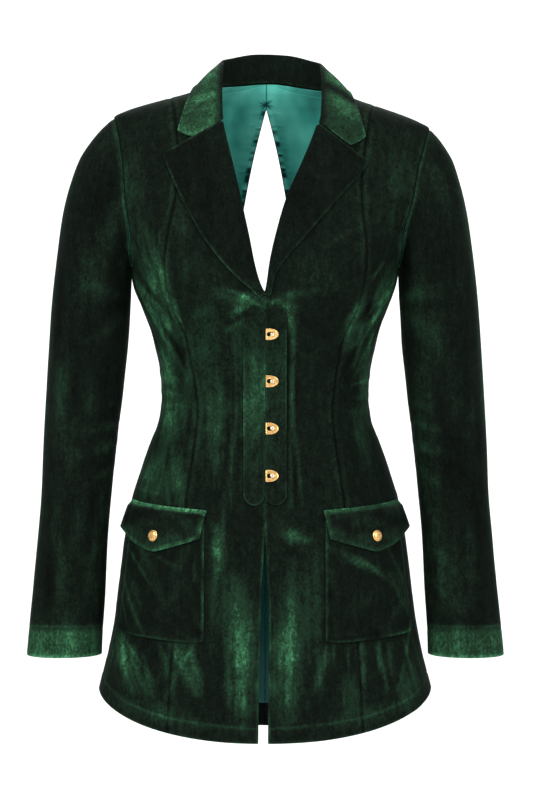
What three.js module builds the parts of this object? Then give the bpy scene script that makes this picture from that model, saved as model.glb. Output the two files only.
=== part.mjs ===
// Velvet corset jacket with a busk front, peaked lapels, patch pockets and a keyhole back.
// Millimetres, +Z up. The front faces -Y and +X is the viewer's right.
// The origin lies between the shoulder seams, at the height of the sides of the neck.
import * as THREE from 'three';

// Cloth and seams
const CLOTH = 1.8;
const SLEEVE_CLOTH = 1.6;
const TRIM_CLOTH = 1.5;
const LINING_CLOTH = 1.0;
const SEAM_GAP = 0.34;

// Body levels: half width at the side, depth to the front and depth to the back
const BODY_LEVELS = [
  { z: -750, half: 206.0, front: 135.0, back: 134.0 },
  { z: -688, half: 191.9, front: 127.0, back: 128.0 },
  { z: -645, half: 181.4, front: 122.0, back: 124.0 },
  { z: -610, half: 174.5, front: 119.0, back: 122.0 },
  { z: -564, half: 168.6, front: 116.0, back: 120.0 },
  { z: -517, half: 162.8, front: 112.0, back: 116.0 },
  { z: -471, half: 154.1, front: 107.0, back: 108.0 },
  { z: -425, half: 140.1, front: 99.0, back: 96.0 },
  { z: -401, half: 131.4, front: 94.0, back: 90.0 },
  { z: -378, half: 122.7, front: 90.0, back: 85.0 },
  { z: -349, half: 119.2, front: 88.0, back: 82.0 },
  { z: -320, half: 121.5, front: 91.0, back: 83.0 },
  { z: -297, half: 126.2, front: 98.0, back: 85.5 },
  { z: -273, half: 132.0, front: 106.0, back: 89.0 },
  { z: -250, half: 139.6, front: 114.0, back: 93.0 },
  { z: -227, half: 147.7, front: 119.0, back: 97.0 },
  { z: -203, half: 153.0, front: 119.0, back: 100.0 },
  { z: -170, half: 170.0, front: 114.0, back: 103.0 },
  { z: -140, half: 186.0, front: 106.0, back: 103.0 },
  { z: -115, half: 194.0, front: 99.0, back: 101.0 },
  { z: -90, half: 197.0, front: 90.0, back: 98.0 },
  { z: -60, half: 194.0, front: 79.0, back: 92.0 },
  { z: -45, half: 189.5, front: 72.0, back: 88.0 },
  { z: -33, half: 183.0, front: 65.0, back: 84.0 },
  { z: -26, half: 170.0, front: 61.0, back: 81.0 },
  { z: -17.5, half: 146.5, front: 55.0, back: 77.0 },
  { z: -11, half: 125.0, front: 49.0, back: 74.0 },
  { z: -6, half: 107.5, front: 42.0, back: 71.0 },
  { z: 0, half: 90.0, front: 31.0, back: 68.0 },
  { z: 4, half: 78.0, front: 21.0, back: 66.0 },
  { z: 8, half: 66.0, front: 11.0, back: 64.0 },
  { z: 13, half: 54.0, front: 6.0, back: 62.5 },
  { z: 20, half: 36.0, front: 3.0, back: 61.0 },
];
const ROUNDNESS = 2.2;

// The bust fullness that the princess seams shape
const BUST = { angle: 0.62, z: -195, height: 11, spreadAngle: 0.34, spreadZ: 50 };

// The shoulders sit a little towards +X and lower there
const LEAN = { shift: 8, slope: 0.036, fromZ: -230, toZ: -20 };

// Seams and edges as distance from the centre line at each height
const NECK_EDGE = {
  left: [
    { z: -235, x: 0.4 }, { z: -229, x: 5 }, { z: -212, x: 11.6 }, { z: -167, x: 22.8 },
    { z: -128.5, x: 33.2 }, { z: -82.5, x: 46.6 }, { z: -41.5, x: 57.6 }, { z: -20, x: 61.5 },
    { z: -10, x: 63.5 }, { z: 0, x: 65.5 }, { z: 4, x: 66.2 }, { z: 8, x: 66 },
  ],
  right: [
    { z: -235, x: 0.4 }, { z: -229, x: 3.2 }, { z: -195, x: 7.9 }, { z: -163.5, x: 13.7 },
    { z: -123.5, x: 23.4 }, { z: -82.5, x: 38.4 }, { z: -42.5, x: 52.6 }, { z: -20, x: 59.4 },
    { z: -10, x: 62.6 }, { z: 0, x: 65.3 }, { z: 4, x: 66.2 }, { z: 8, x: 66 },
  ],
};
const FRONT_PRINCESS = [
  { z: -750, x: 112 }, { z: -600, x: 103 }, { z: -470, x: 90 }, { z: -420, x: 82.7 },
  { z: -366, x: 77 }, { z: -333, x: 79.8 }, { z: -308, x: 83.8 }, { z: -282, x: 90 },
  { z: -262, x: 99 }, { z: -245, x: 105 }, { z: -203, x: 109.5 }, { z: -156, x: 108.5 },
  { z: -103, x: 105 }, { z: -29, x: 112 }, { z: -9, x: 118 },
];
const BACK_PRINCESS = [
  { z: -750, x: 102 }, { z: -600, x: 93 }, { z: -470, x: 78 }, { z: -349, x: 58 },
  { z: -270, x: 74 }, { z: -200, x: 92 }, { z: -103, x: 100 }, { z: -29, x: 112 }, { z: -9, x: 118 },
];
const ARMHOLE = [
  { z: -200, x: 153 }, { z: -160, x: 157 }, { z: -125, x: 165 }, { z: -90, x: 169.8 },
  { z: -65, x: 174.5 }, { z: -45, x: 179.5 }, { z: -33, x: 183 },
];
const KEYHOLE = [
  { z: -322, x: 0 }, { z: -290, x: 17 }, { z: -240, x: 33 }, { z: -190, x: 36 },
  { z: -123, x: 25.5 }, { z: -75, x: 16.5 }, { z: -36, x: 7.2 }, { z: -10, x: 0 },
];

// The centre back seam stays upright while the shoulders lean
const CENTRE_BACK_SHIFT = 6.5;

// Heights where the panels' rows are anchored
const UNDERARM_Z = -200;
const SHOULDER_TIP_Z = -33;
const SHOULDER_PRINCESS_Z = -9;
const NECK_SIDE_Z = 8;
const NECK_BACK_Z = 17;
const V_BOTTOM_Z = -235;
const HEM = { sideZ: -687, drop: 56, power: 1.35 };

// The front edges part below the busk
const SLIT = { topZ: -500, fullZ: -700, left: 7, right: 4 };

// Grid sizes
const BODY_ROWS = 19;
const YOKE_ROWS = 10;
const CENTRE_COLUMNS = 5;
const SIDE_COLUMNS = 6;

// Soft folds: root and tail by angle in degrees and height, crest height and half width
const FOLDS = [
  { side: -1, a0: 84, z0: -212, a1: 34, z1: -338, crest: 3.4, spread: 17 },
  { side: -1, a0: 80, z0: -232, a1: 52, z1: -386, crest: 2.6, spread: 16 },
  { side: 1, a0: 84, z0: -215, a1: 40, z1: -330, crest: 2.8, spread: 17 },
  { side: 1, a0: 80, z0: -238, a1: 55, z1: -380, crest: 2.2, spread: 16 },
  { side: -1, a0: 74, z0: -640, a1: 40, z1: -700, crest: 3.0, spread: 16 },
  { side: 1, a0: 30, z0: -645, a1: 16, z1: -725, crest: 3.2, spread: 17 },
  { side: 1, a0: 64, z0: -628, a1: 60, z1: -700, crest: 2.6, spread: 16 },
  { side: -1, a0: 20, z0: -520, a1: 12, z1: -735, crest: 2.6, spread: 19 },
  { side: 1, a0: 122, z0: -430, a1: 132, z1: -720, crest: 3.6, spread: 22 },
  { side: -1, a0: 126, z0: -430, a1: 137, z1: -720, crest: 3.2, spread: 22 },
  { side: 1, a0: 160, z0: -470, a1: 163, z1: -725, crest: 3.0, spread: 22 },
  { side: -1, a0: 158, z0: -470, a1: 161, z1: -725, crest: 3.4, spread: 22 },
  { side: 1, a0: 98, z0: -214, a1: 140, z1: -320, crest: 2.6, spread: 18 },
  { side: -1, a0: 98, z0: -214, a1: 138, z1: -322, crest: 2.8, spread: 18 },
];

// Sleeve rings: heights of the outer and the inner line, and half the depth
const SLEEVE_RINGS = [
  { outerZ: -33, innerZ: -200, depth: 57 },
  { outerZ: -46, innerZ: -204, depth: 58 },
  { outerZ: -66, innerZ: -210, depth: 59 },
  { outerZ: -92, innerZ: -218, depth: 60 },
  { outerZ: -124, innerZ: -229, depth: 59 },
  { outerZ: -162, innerZ: -245, depth: 57 },
  { outerZ: -206, innerZ: -266, depth: 55 },
  { outerZ: -254, innerZ: -294, depth: 53 },
  { outerZ: -304, innerZ: -328, depth: 51 },
  { outerZ: -354, innerZ: -366, depth: 49 },
  { outerZ: -405, innerZ: -409, depth: 46 },
  { outerZ: -455, innerZ: -456, depth: 44 },
  { outerZ: -506, innerZ: -506, depth: 42 },
  { outerZ: -560, innerZ: -560, depth: 40.5 },
  { outerZ: -616, innerZ: -616, depth: 39 },
  { outerZ: -621, innerZ: -621, depth: 39.4 },
  { outerZ: -648, innerZ: -647, depth: 38.6 },
];
const SLEEVE_OUTER = [
  { z: -33, x: 183 }, { z: -46, x: 195.5 }, { z: -52, x: 200.6 }, { z: -64, x: 209.3 },
  { z: -76, x: 216.3 }, { z: -99, x: 224.5 }, { z: -122, x: 230.9 }, { z: -145, x: 235.5 },
  { z: -180, x: 240.2 }, { z: -238, x: 246.6 }, { z: -285, x: 250 }, { z: -378, x: 255.3 },
  { z: -471, x: 259.3 }, { z: -564, x: 267.5 }, { z: -646, x: 275 }, { z: -655, x: 275.6 },
];
const SLEEVE_INNER = [
  { z: -200, x: 155.2 }, { z: -215, x: 156 }, { z: -238, x: 157 }, { z: -285, x: 159.5 },
  { z: -320, x: 162.8 }, { z: -355, x: 166.5 }, { z: -390, x: 171.5 }, { z: -436, x: 176.2 },
  { z: -517, x: 183 }, { z: -576, x: 185.5 }, { z: -634, x: 189 }, { z: -655, x: 189.5 },
];
const SLEEVE_SWING = [
  { z: -655, y: -24 }, { z: -450, y: -8 }, { z: -300, y: 0 }, { z: -120, y: 2 }, { z: -33, y: 0 },
];
const CUFF_DIP = 3;

// Collar: fold and outer edge of one half, from the centre back to the front end
const COLLAR_LINES = [
  { v: 0.0, foldX: 0, foldY: 67, foldZ: 53.5, edgeX: 0, edgeY: 88, edgeZ: 5 },
  { v: 0.1, foldX: 18, foldY: 65, foldZ: 52.8, edgeX: 26, edgeY: 85, edgeZ: 5 },
  { v: 0.25, foldX: 43, foldY: 53, foldZ: 47, edgeX: 63, edgeY: 68, edgeZ: 3 },
  { v: 0.4, foldX: 57, foldY: 24, foldZ: 40, edgeX: 82, edgeY: 34, edgeZ: 5 },
  { v: 0.5, foldX: 57, foldY: 2, foldZ: 34, edgeX: 88, edgeY: 2, edgeZ: 7 },
  { v: 0.75, foldX: 57.5, foldY: -37, foldZ: 4, edgeX: 98, edgeY: -42, edgeZ: -14 },
  { v: 1.0, foldX: 56, foldY: -68, foldZ: -34, edgeX: 107.5, edgeY: -66, edgeZ: -49 },
];
const LINING = { columns: 7, reach: 0.97, yokeReach: 0.86, loose: 2.2, looseZ: -110, seatedZ: -30 };
const COLLAR = { along: 10, stand: 2, fall: 6, notchAt: 0.66, arch: 4, clearance: 4.8 };
const NOTCH_DIP = { left: 12, right: 16 };

// Lapel: outer edge from the break point to the peak; the left one is fuller below
const LAPEL_EDGE = {
  left: [
    { z: -239, x: 4.5 }, { z: -229, x: 15.5 }, { z: -215, x: 31.5 }, { z: -189.5, x: 55 },
    { z: -161.5, x: 76.1 }, { z: -131, x: 94.9 }, { z: -106, x: 109.2 }, { z: -77.5, x: 123 },
  ],
  right: [
    { z: -236, x: 2 }, { z: -218, x: 8 }, { z: -201, x: 18 }, { z: -165, x: 46.7 },
    { z: -134, x: 70.7 }, { z: -110.5, x: 89.3 }, { z: -89, x: 107 }, { z: -79.2, x: 110.6 },
  ],
};
const LAPEL_PEAK_Z = { left: -77.5, right: -79.2 };
const LAPEL = { topInnerZ: -39, rows: 10, columns: 4, lift: 2.7 };

// Busk panels, loops and studs
const BUSK = { inner: 0.5, outer: 24, topZ: -247, bottomZ: -474.5, topRise: 7, bottomRise: 9, lift: 2.6 };
const BUSK_HEIGHTS = [-278.5, -332.8, -388, -441.8];
const LOOP = { flat: 0.6, shoulder: 4.6, nose: 15.4, half: 6.9, hole: 2.6, slot: 1.9, thick: 1.2 };
const STUD = { along: 8.4, neck: 1.45, head: 2.8, dome: 1.7 };
const LOOP_LIFT = 4.0;

// Patch pockets, their flaps and the dome snaps
const POCKET = { innerX: 69, outerAngle: 71, topZ: -489, bottomInnerZ: -632, bottomOuterZ: -620, bulge: 6 };
const FLAP = {
  innerTopX: 66.5, innerBottomX: 73, outerAngle: 78, topInnerZ: -481, topOuterZ: -470,
  side: 32, point: 52, flare: 5,
};
const SNAP = { angle: 51, z: -511, radius: 6.5, height: 3.2 };

// Colours from the cloth, the satin and the brass
const VELVET_COLOUR = 0x14402a;
const SATIN_COLOUR = 0x3d8a7d;
const BRASS_COLOUR = 0xc8953f;

const radians = (degrees) => (degrees * Math.PI) / 180;
const mix = (a, b, t) => a + (b - a) * t;
const clamp01 = (t) => Math.min(1, Math.max(0, t));

function smoothStep(from, to, value) {
  const t = clamp01((value - from) / (to - from));
  return t * t * (3 - 2 * t);
}

function signedPower(value, power) {
  return Math.sign(value) * Math.abs(value) ** power;
}

// A smooth curve through a table's rows, held level past its ends
function curveThrough(rows, key, column) {
  const sorted = [...rows].sort((a, b) => a[key] - b[key]);
  const at = sorted.map((row) => row[key]);
  const values = sorted.map((row) => row[column]);
  const slopes = values.map((value, i) => {
    if (i === 0 || i === values.length - 1) return 0;
    const before = (value - values[i - 1]) / (at[i] - at[i - 1]);
    const after = (values[i + 1] - value) / (at[i + 1] - at[i]);
    return before * after > 0 ? (2 * before * after) / (before + after) : 0;
  });
  return (query) => {
    if (query <= at[0]) return values[0];
    if (query >= at[at.length - 1]) return values[values.length - 1];
    let i = 0;
    while (query > at[i + 1]) i += 1;
    const span = at[i + 1] - at[i];
    const t = (query - at[i]) / span;
    const rise = values[i + 1] - values[i];
    const startSlope = i === 0 ? 1.5 * rise / span - 0.5 * slopes[i + 1] : slopes[i];
    const endSlope = i === at.length - 2 ? 1.5 * rise / span - 0.5 * slopes[i] : slopes[i + 1];
    const t2 = t * t;
    const t3 = t2 * t;
    return values[i] * (2 * t3 - 3 * t2 + 1) + startSlope * span * (t3 - 2 * t2 + t)
      + values[i + 1] * (3 * t2 - 2 * t3) + endSlope * span * (t3 - t2);
  };
}

const halfWidthAt = curveThrough(BODY_LEVELS, 'z', 'half');
const frontDepthAt = curveThrough(BODY_LEVELS, 'z', 'front');
const backDepthAt = curveThrough(BODY_LEVELS, 'z', 'back');
const neckEdgeAt = {
  left: curveThrough(NECK_EDGE.left, 'z', 'x'),
  right: curveThrough(NECK_EDGE.right, 'z', 'x'),
};
const frontPrincessAt = curveThrough(FRONT_PRINCESS, 'z', 'x');
const backPrincessAt = curveThrough(BACK_PRINCESS, 'z', 'x');
const armholeAt = curveThrough(ARMHOLE, 'z', 'x');
const keyholeAt = curveThrough(KEYHOLE, 'z', 'x');
const sleeveOuterAt = curveThrough(SLEEVE_OUTER, 'z', 'x');
const sleeveInnerAt = curveThrough(SLEEVE_INNER, 'z', 'x');
const sleeveSwingAt = curveThrough(SLEEVE_SWING, 'z', 'y');
const lapelEdgeAt = {
  left: curveThrough(LAPEL_EDGE.left, 'z', 'x'),
  right: curveThrough(LAPEL_EDGE.right, 'z', 'x'),
};

// The angle round the body, 0 at the centre front and 90 degrees at the side, of a distance x
function angleOf(x, z) {
  const share = Math.min(1, Math.abs(x) / halfWidthAt(z));
  return Math.sign(x) * Math.asin(share ** (ROUNDNESS / 2));
}

function backAngleOf(x, z) {
  return Math.PI - angleOf(x, z);
}

function hemZ(angle) {
  return HEM.sideZ - HEM.drop * Math.abs(Math.cos(angle)) ** HEM.power;
}

// How far the soft folds and the bust stand out at an angle and a height
function fullness(angle, z) {
  const bustAngle = (Math.abs(angle) - BUST.angle) / BUST.spreadAngle;
  const bustZ = (z - BUST.z) / BUST.spreadZ;
  let out = BUST.height * Math.exp(-bustAngle * bustAngle - bustZ * bustZ);
  const reach = halfWidthAt(z);
  for (const fold of FOLDS) {
    const a0 = radians(fold.a0) * reach;
    const a1 = radians(fold.a1) * reach;
    const da = a1 - a0;
    const dz = fold.z1 - fold.z0;
    const pa = fold.side * angle * reach - a0;
    const pz = z - fold.z0;
    const along = clamp01((pa * da + pz * dz) / (da * da + dz * dz));
    const away = Math.hypot(pa - da * along, pz - dz * along) / fold.spread;
    out += fold.crest * Math.sin(Math.PI * mix(0.12, 0.88, along)) * Math.exp(-away * away);
  }
  return out;
}

function lean(point) {
  const share = smoothStep(LEAN.fromZ, LEAN.toZ, point.z);
  point.z -= LEAN.slope * point.x * share;
  point.x += LEAN.shift * share;
  return point;
}

function bodyPoint(angle, z) {
  const half = halfWidthAt(z);
  const depth = Math.cos(angle) > 0 ? frontDepthAt(z) : backDepthAt(z);
  const power = 2 / ROUNDNESS;
  const x = half * signedPower(Math.sin(angle), power);
  const y = -depth * signedPower(Math.cos(angle), power);
  const out = new THREE.Vector3(x / (half * half), y / (depth * depth), 0).normalize();
  const point = new THREE.Vector3(x, y, z).addScaledVector(out, fullness(angle, z));
  return lean(point);
}

// A point of the body's surface with its outward normal
function bodySpot(angle, z) {
  const stepAngle = 0.006;
  const stepZ = 1.2;
  const across = bodyPoint(angle + stepAngle, z).sub(bodyPoint(angle - stepAngle, z));
  const up = bodyPoint(angle, z + stepZ).sub(bodyPoint(angle, z - stepZ));
  return { point: bodyPoint(angle, z), normal: across.cross(up).normalize() };
}

function raised(spot, lift) {
  return { point: spot.point.clone().addScaledVector(spot.normal, lift), normal: spot.normal };
}

// Draws the outer rows and columns of a grid back from its seams
function drawnBack(grid, gap) {
  const rows = grid.length;
  const columns = grid[0].length;
  const pull = (edge, inside) => {
    const inward = inside.point.clone().sub(edge.point).normalize();
    edge.point.addScaledVector(inward, gap);
  };
  for (let r = 0; r < rows; r += 1) {
    pull(grid[r][0], grid[r][1]);
    pull(grid[r][columns - 1], grid[r][columns - 2]);
  }
  for (let c = 0; c < columns; c += 1) {
    pull(grid[0][c], grid[1][c]);
    pull(grid[rows - 1][c], grid[rows - 2][c]);
  }
  return grid;
}

function signedVolume(positions, index) {
  let volume = 0;
  const corner = (i) => new THREE.Vector3().fromArray(positions, 3 * index[i]);
  for (let i = 0; i < index.length; i += 3) {
    volume += corner(i).dot(corner(i + 1).cross(corner(i + 2))) / 6;
  }
  return volume;
}

// A closed wall of cloth on a grid of spots; around joins the last column to the first
function wallGeometry(grid, thickness, around = false) {
  const rows = grid.length;
  const columns = grid[0].length;
  const positions = [];
  for (const share of [-0.5, 0.5]) {
    for (const row of grid) {
      for (const spot of row) {
        positions.push(...spot.point.clone().addScaledVector(spot.normal, share * thickness).toArray());
      }
    }
  }
  const at = (layer, r, c) => layer * rows * columns + r * columns + (c % columns);
  const index = [];
  const quad = (a, b, c, d) => index.push(a, b, c, a, c, d);
  const spans = around ? columns : columns - 1;
  for (let r = 0; r < rows - 1; r += 1) {
    for (let c = 0; c < spans; c += 1) {
      quad(at(1, r, c), at(1, r, c + 1), at(1, r + 1, c + 1), at(1, r + 1, c));
      quad(at(0, r, c), at(0, r + 1, c), at(0, r + 1, c + 1), at(0, r, c + 1));
    }
  }
  for (let c = 0; c < spans; c += 1) {
    quad(at(0, 0, c), at(0, 0, c + 1), at(1, 0, c + 1), at(1, 0, c));
    quad(at(1, rows - 1, c), at(1, rows - 1, c + 1), at(0, rows - 1, c + 1), at(0, rows - 1, c));
  }
  if (!around) {
    const last = columns - 1;
    for (let r = 0; r < rows - 1; r += 1) {
      quad(at(1, r, 0), at(1, r + 1, 0), at(0, r + 1, 0), at(0, r, 0));
      quad(at(0, r, last), at(0, r + 1, last), at(1, r + 1, last), at(1, r, last));
    }
  }
  if (signedVolume(positions, index) < 0) index.reverse();
  const geometry = new THREE.BufferGeometry();
  geometry.setAttribute('position', new THREE.Float32BufferAttribute(positions, 3));
  geometry.setIndex(index);
  geometry.computeVertexNormals();
  return geometry;
}

// Normals of a free grid from its own points
function withNormals(points, around = false) {
  const rows = points.length;
  const columns = points[0].length;
  return points.map((row, r) => row.map((point, c) => {
    const left = around ? (c + columns - 1) % columns : Math.max(0, c - 1);
    const right = around ? (c + 1) % columns : Math.min(columns - 1, c + 1);
    const across = row[right].clone().sub(row[left]);
    const along = points[Math.min(rows - 1, r + 1)][c].clone().sub(points[Math.max(0, r - 1)][c]);
    return { point: point.clone(), normal: across.cross(along).normalize() };
  }));
}

// Share of the way up a panel's lower part, or up its yoke, at a row
function yokeShare(row) {
  return (1 - Math.cos((Math.PI * (row - BODY_ROWS)) / YOKE_ROWS)) / 2;
}

function rowHeight(row, bottom, middle, top) {
  if (row <= BODY_ROWS) return mix(bottom, middle, row / BODY_ROWS);
  return mix(middle, top, yokeShare(row));
}

const LAST_ROW = BODY_ROWS + YOKE_ROWS;

// Each seam gives the angle and height of its point at a row, on the +X side
const seams = {
  centreFront(row, name) {
    const z = rowHeight(row, hemZ(0), V_BOTTOM_Z, NECK_SIDE_Z);
    if (row === LAST_ROW) return { angle: Math.PI / 2, z };
    const opening = SLIT[name] * smoothStep(SLIT.topZ, SLIT.fullZ, z);
    return { angle: angleOf(z <= V_BOTTOM_Z ? opening + 0.01 : neckEdgeAt[name](z), z), z };
  },
  frontPrincess(row) {
    const bottom = hemZ(angleOf(frontPrincessAt(HEM.sideZ), HEM.sideZ));
    const z = rowHeight(row, bottom, (V_BOTTOM_Z + UNDERARM_Z) / 2, SHOULDER_PRINCESS_Z);
    return { angle: row === LAST_ROW ? Math.PI / 2 : angleOf(frontPrincessAt(z), z), z };
  },
  side(row) {
    const z = rowHeight(row, HEM.sideZ, UNDERARM_Z, SHOULDER_TIP_Z);
    const onArmhole = row > BODY_ROWS && row < LAST_ROW;
    return { angle: onArmhole ? angleOf(armholeAt(z), z) : Math.PI / 2, z };
  },
  backSide(row) {
    const { angle, z } = seams.side(row);
    return { angle: Math.PI - angle, z };
  },
  backPrincess(row) {
    const bottom = hemZ(angleOf(backPrincessAt(HEM.sideZ), HEM.sideZ));
    const z = rowHeight(row, bottom, UNDERARM_Z - 12, SHOULDER_PRINCESS_Z);
    return { angle: row === LAST_ROW ? Math.PI / 2 : backAngleOf(backPrincessAt(z), z), z };
  },
  centreBack(row, sign) {
    const z = rowHeight(row, hemZ(Math.PI), UNDERARM_Z - 25, NECK_BACK_Z);
    const shift = sign * CENTRE_BACK_SHIFT * smoothStep(LEAN.fromZ, LEAN.toZ, z);
    return { angle: backAngleOf(keyholeAt(z) + 0.01 - shift, z), z };
  },
  neckBack(angle) {
    const share = angle / (Math.PI / 2) - 1;
    return { angle, z: mix(NECK_SIDE_Z, NECK_BACK_Z, smoothStep(0, 1, share)) };
  },
};

// A panel between two seams; topEdge gives its last row where that isn't straight
function panelGrid(side, startSeam, endSeam, columns, topEdge = null) {
  const grid = [];
  for (let row = 0; row <= LAST_ROW; row += 1) {
    const start = startSeam(row);
    const end = endSeam(row);
    const line = [];
    for (let column = 0; column <= columns; column += 1) {
      const share = column / columns;
      let spot = { angle: mix(start.angle, end.angle, share), z: mix(start.z, end.z, share) };
      if (row === 0) spot.z = hemZ(spot.angle);
      if (row === LAST_ROW && topEdge) spot = topEdge(share);
      line.push(bodySpot(side * spot.angle, spot.z));
    }
    grid.push(line);
  }
  return drawnBack(grid, SEAM_GAP / 2);
}

const velvet = () => new THREE.MeshStandardMaterial({ color: VELVET_COLOUR, roughness: 0.8, metalness: 0 });
const satin = () => new THREE.MeshStandardMaterial({ color: SATIN_COLOUR, roughness: 0.35, metalness: 0 });
const brass = () => new THREE.MeshStandardMaterial({ color: BRASS_COLOUR, roughness: 0.28, metalness: 1 });

const jacket = new THREE.Group();

function add(name, geometry, material) {
  const mesh = new THREE.Mesh(geometry, material);
  mesh.name = name;
  jacket.add(mesh);
  return mesh;
}

const SIDES = [{ name: 'left', sign: -1 }, { name: 'right', sign: 1 }];

function addBodyPanels({ name, sign }) {
  const front = panelGrid(sign, (row) => seams.centreFront(row, name), seams.frontPrincess, CENTRE_COLUMNS);
  add(`front_centre_${name}`, wallGeometry(front, CLOTH), velvet());
  const frontSide = panelGrid(sign, seams.frontPrincess, seams.side, SIDE_COLUMNS);
  add(`front_side_${name}`, wallGeometry(frontSide, CLOTH), velvet());
  const backSide = panelGrid(sign, seams.backSide, seams.backPrincess, SIDE_COLUMNS);
  add(`back_side_${name}`, wallGeometry(backSide, CLOTH), velvet());
  const centreBack = (row) => seams.centreBack(row, sign);
  const top = (share) => backTop(share, centreBack(LAST_ROW).angle);
  const back = panelGrid(sign, seams.backPrincess, centreBack, CENTRE_COLUMNS, top);
  add(`back_centre_${name}`, wallGeometry(back, CLOTH), velvet());
}

// The centre back's top runs along the shoulder seam, and then round the back of the neck
const SHOULDER_SHARE = 0.4;

function backTop(share, endAngle) {
  if (share <= SHOULDER_SHARE) {
    return { angle: Math.PI / 2, z: mix(SHOULDER_PRINCESS_Z, NECK_SIDE_Z, share / SHOULDER_SHARE) };
  }
  return seams.neckBack(mix(Math.PI / 2, endAngle, (share - SHOULDER_SHARE) / (1 - SHOULDER_SHARE)));
}

// The sleeve's first ring follows the armhole, and the rest are rings round the arm's line
function sleevePoints(sign) {
  const count = 2 * YOKE_ROWS;
  return SLEEVE_RINGS.map((ring, k) => {
    const outer = new THREE.Vector3(sleeveOuterAt(ring.outerZ), sleeveSwingAt(ring.outerZ), ring.outerZ);
    const inner = new THREE.Vector3(sleeveInnerAt(ring.innerZ), sleeveSwingAt(ring.innerZ), ring.innerZ);
    const centre = outer.clone().add(inner).multiplyScalar(0.5);
    const arm = outer.clone().sub(centre);
    const points = [];
    for (let j = 0; j < count; j += 1) {
      const turn = (2 * Math.PI * j) / count;
      if (k === 0) {
        points.push(armholeSpot(sign, j, turn));
        continue;
      }
      const point = centre.clone().addScaledVector(arm, signedPower(Math.cos(turn), 0.94));
      point.y -= ring.depth * signedPower(Math.sin(turn), 0.94);
      if (k === SLEEVE_RINGS.length - 1) point.z -= CUFF_DIP * Math.abs(Math.sin(turn));
      point.x *= sign;
      const share = Math.max(0, 1 - k / 5) ** 2 * smoothStep(LEAN.fromZ, LEAN.toZ, point.z);
      point.z -= share * LEAN.slope * point.x;
      point.x += share * LEAN.shift;
      points.push(point);
    }
    return points;
  });
}

// Tucked just under the body at the shoulder, and just outside it at the underarm
function armholeSpot(sign, j, turn) {
  const row = LAST_ROW - (j <= YOKE_ROWS ? j : 2 * YOKE_ROWS - j);
  const seam = j <= YOKE_ROWS ? seams.side(row) : seams.backSide(row);
  const spot = bodySpot(sign * seam.angle, seam.z);
  const tuck = CLOTH / 2 + SLEEVE_CLOTH / 2 + SEAM_GAP;
  const point = spot.point.clone().addScaledVector(spot.normal, -tuck * Math.cos(turn));
  point.x += sign * mix(0.2, 1.1, Math.abs(Math.sin(turn)));
  return point;
}

function addSleeve({ name, sign }) {
  const grid = withNormals(sleevePoints(sign), true);
  add(`sleeve_${name}`, wallGeometry(grid, SLEEVE_CLOTH, true), velvet());
}

const collarLineAt = Object.fromEntries(
  ['foldX', 'foldY', 'foldZ', 'edgeX', 'edgeY', 'edgeZ'].map((column) => [
    column, curveThrough(COLLAR_LINES, 'v', column),
  ]),
);

// The neck seam under the collar, from the centre back to the front end
function neckSeam(v, name) {
  if (v <= 0.5) return seams.neckBack(Math.PI * (1 - v));
  const z = mix(NECK_SIDE_Z, LAPEL.topInnerZ + 3, 2 * v - 1);
  return { angle: angleOf(neckEdgeAt[name](z), z), z };
}

// Keeps a collar point clear of the shoulders and the chest
function clearOfBody(point) {
  const x = Math.abs(point.x);
  const z = Math.min(point.z, NECK_BACK_Z);
  if (x >= halfWidthAt(z)) return point;
  const share = (x / halfWidthAt(z)) ** ROUNDNESS;
  const depth = (point.y < 0 ? frontDepthAt(z) : backDepthAt(z)) * (1 - share) ** (1 / ROUNDNESS);
  const wanted = depth + COLLAR.clearance;
  if (Math.abs(point.y) < wanted) point.y = (point.y < 0 ? -1 : 1) * wanted;
  return point;
}

// How far the fall's end reaches down at a share t of its width, with a corner at the notch
function notch(t) {
  const away = t < COLLAR.notchAt ? 1 - t / COLLAR.notchAt : (t - COLLAR.notchAt) / (1 - COLLAR.notchAt);
  return 1 - away ** 1.25;
}

function collarSection(v, name) {
  const seam = neckSeam(v, name);
  const edge = bodySpot(seam.angle, seam.z);
  const unleaned = edge.point.clone();
  const share = smoothStep(LEAN.fromZ, LEAN.toZ, seam.z);
  unleaned.x -= LEAN.shift * share;
  unleaned.z += LEAN.slope * unleaned.x * share;
  const inward = new THREE.Vector3(-Math.sin(seam.angle), Math.cos(seam.angle), 0);
  const slope = Math.abs(edge.normal.z);
  const foot = unleaned.addScaledVector(inward, 1.5 * slope);
  foot.z += SEAM_GAP + 1.2 * (1 - slope) + 1.0;
  const fold = new THREE.Vector3(...['foldX', 'foldY', 'foldZ'].map((key) => collarLineAt[key](v)));
  const rim = new THREE.Vector3(...['edgeX', 'edgeY', 'edgeZ'].map((key) => collarLineAt[key](v)));
  const points = [];
  for (let i = 0; i < COLLAR.stand; i += 1) points.push(foot.clone().lerp(fold, i / COLLAR.stand));
  const outwards = rim.clone().sub(fold);
  outwards.z = 0;
  outwards.normalize();
  for (let i = 0; i <= COLLAR.fall; i += 1) {
    const t = i / COLLAR.fall;
    const point = fold.clone().lerp(rim, t);
    point.z += COLLAR.arch * Math.sin(Math.PI * Math.min(1, t * 1.15)) * (1 - 0.7 * v);
    point.addScaledVector(outwards, 2.5 * Math.sin(Math.PI * t) * (1 - v));
    point.z -= NOTCH_DIP[name] * smoothStep(0.72, 1, v) * notch(t);
    points.push(i === 0 ? point : clearOfBody(point));
  }
  return points;
}

function addCollar({ name, sign }) {
  const sections = [];
  for (let i = 0; i <= COLLAR.along; i += 1) {
    const points = collarSection(i / COLLAR.along, name);
    if (i === 0) points.forEach((point) => point.setX(SEAM_GAP));
    sections.push(points.map((point) => lean(point.setX(point.x * sign))));
  }
  add(`collar_${name}`, wallGeometry(withNormals(sections), TRIM_CLOTH), velvet());
}

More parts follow.
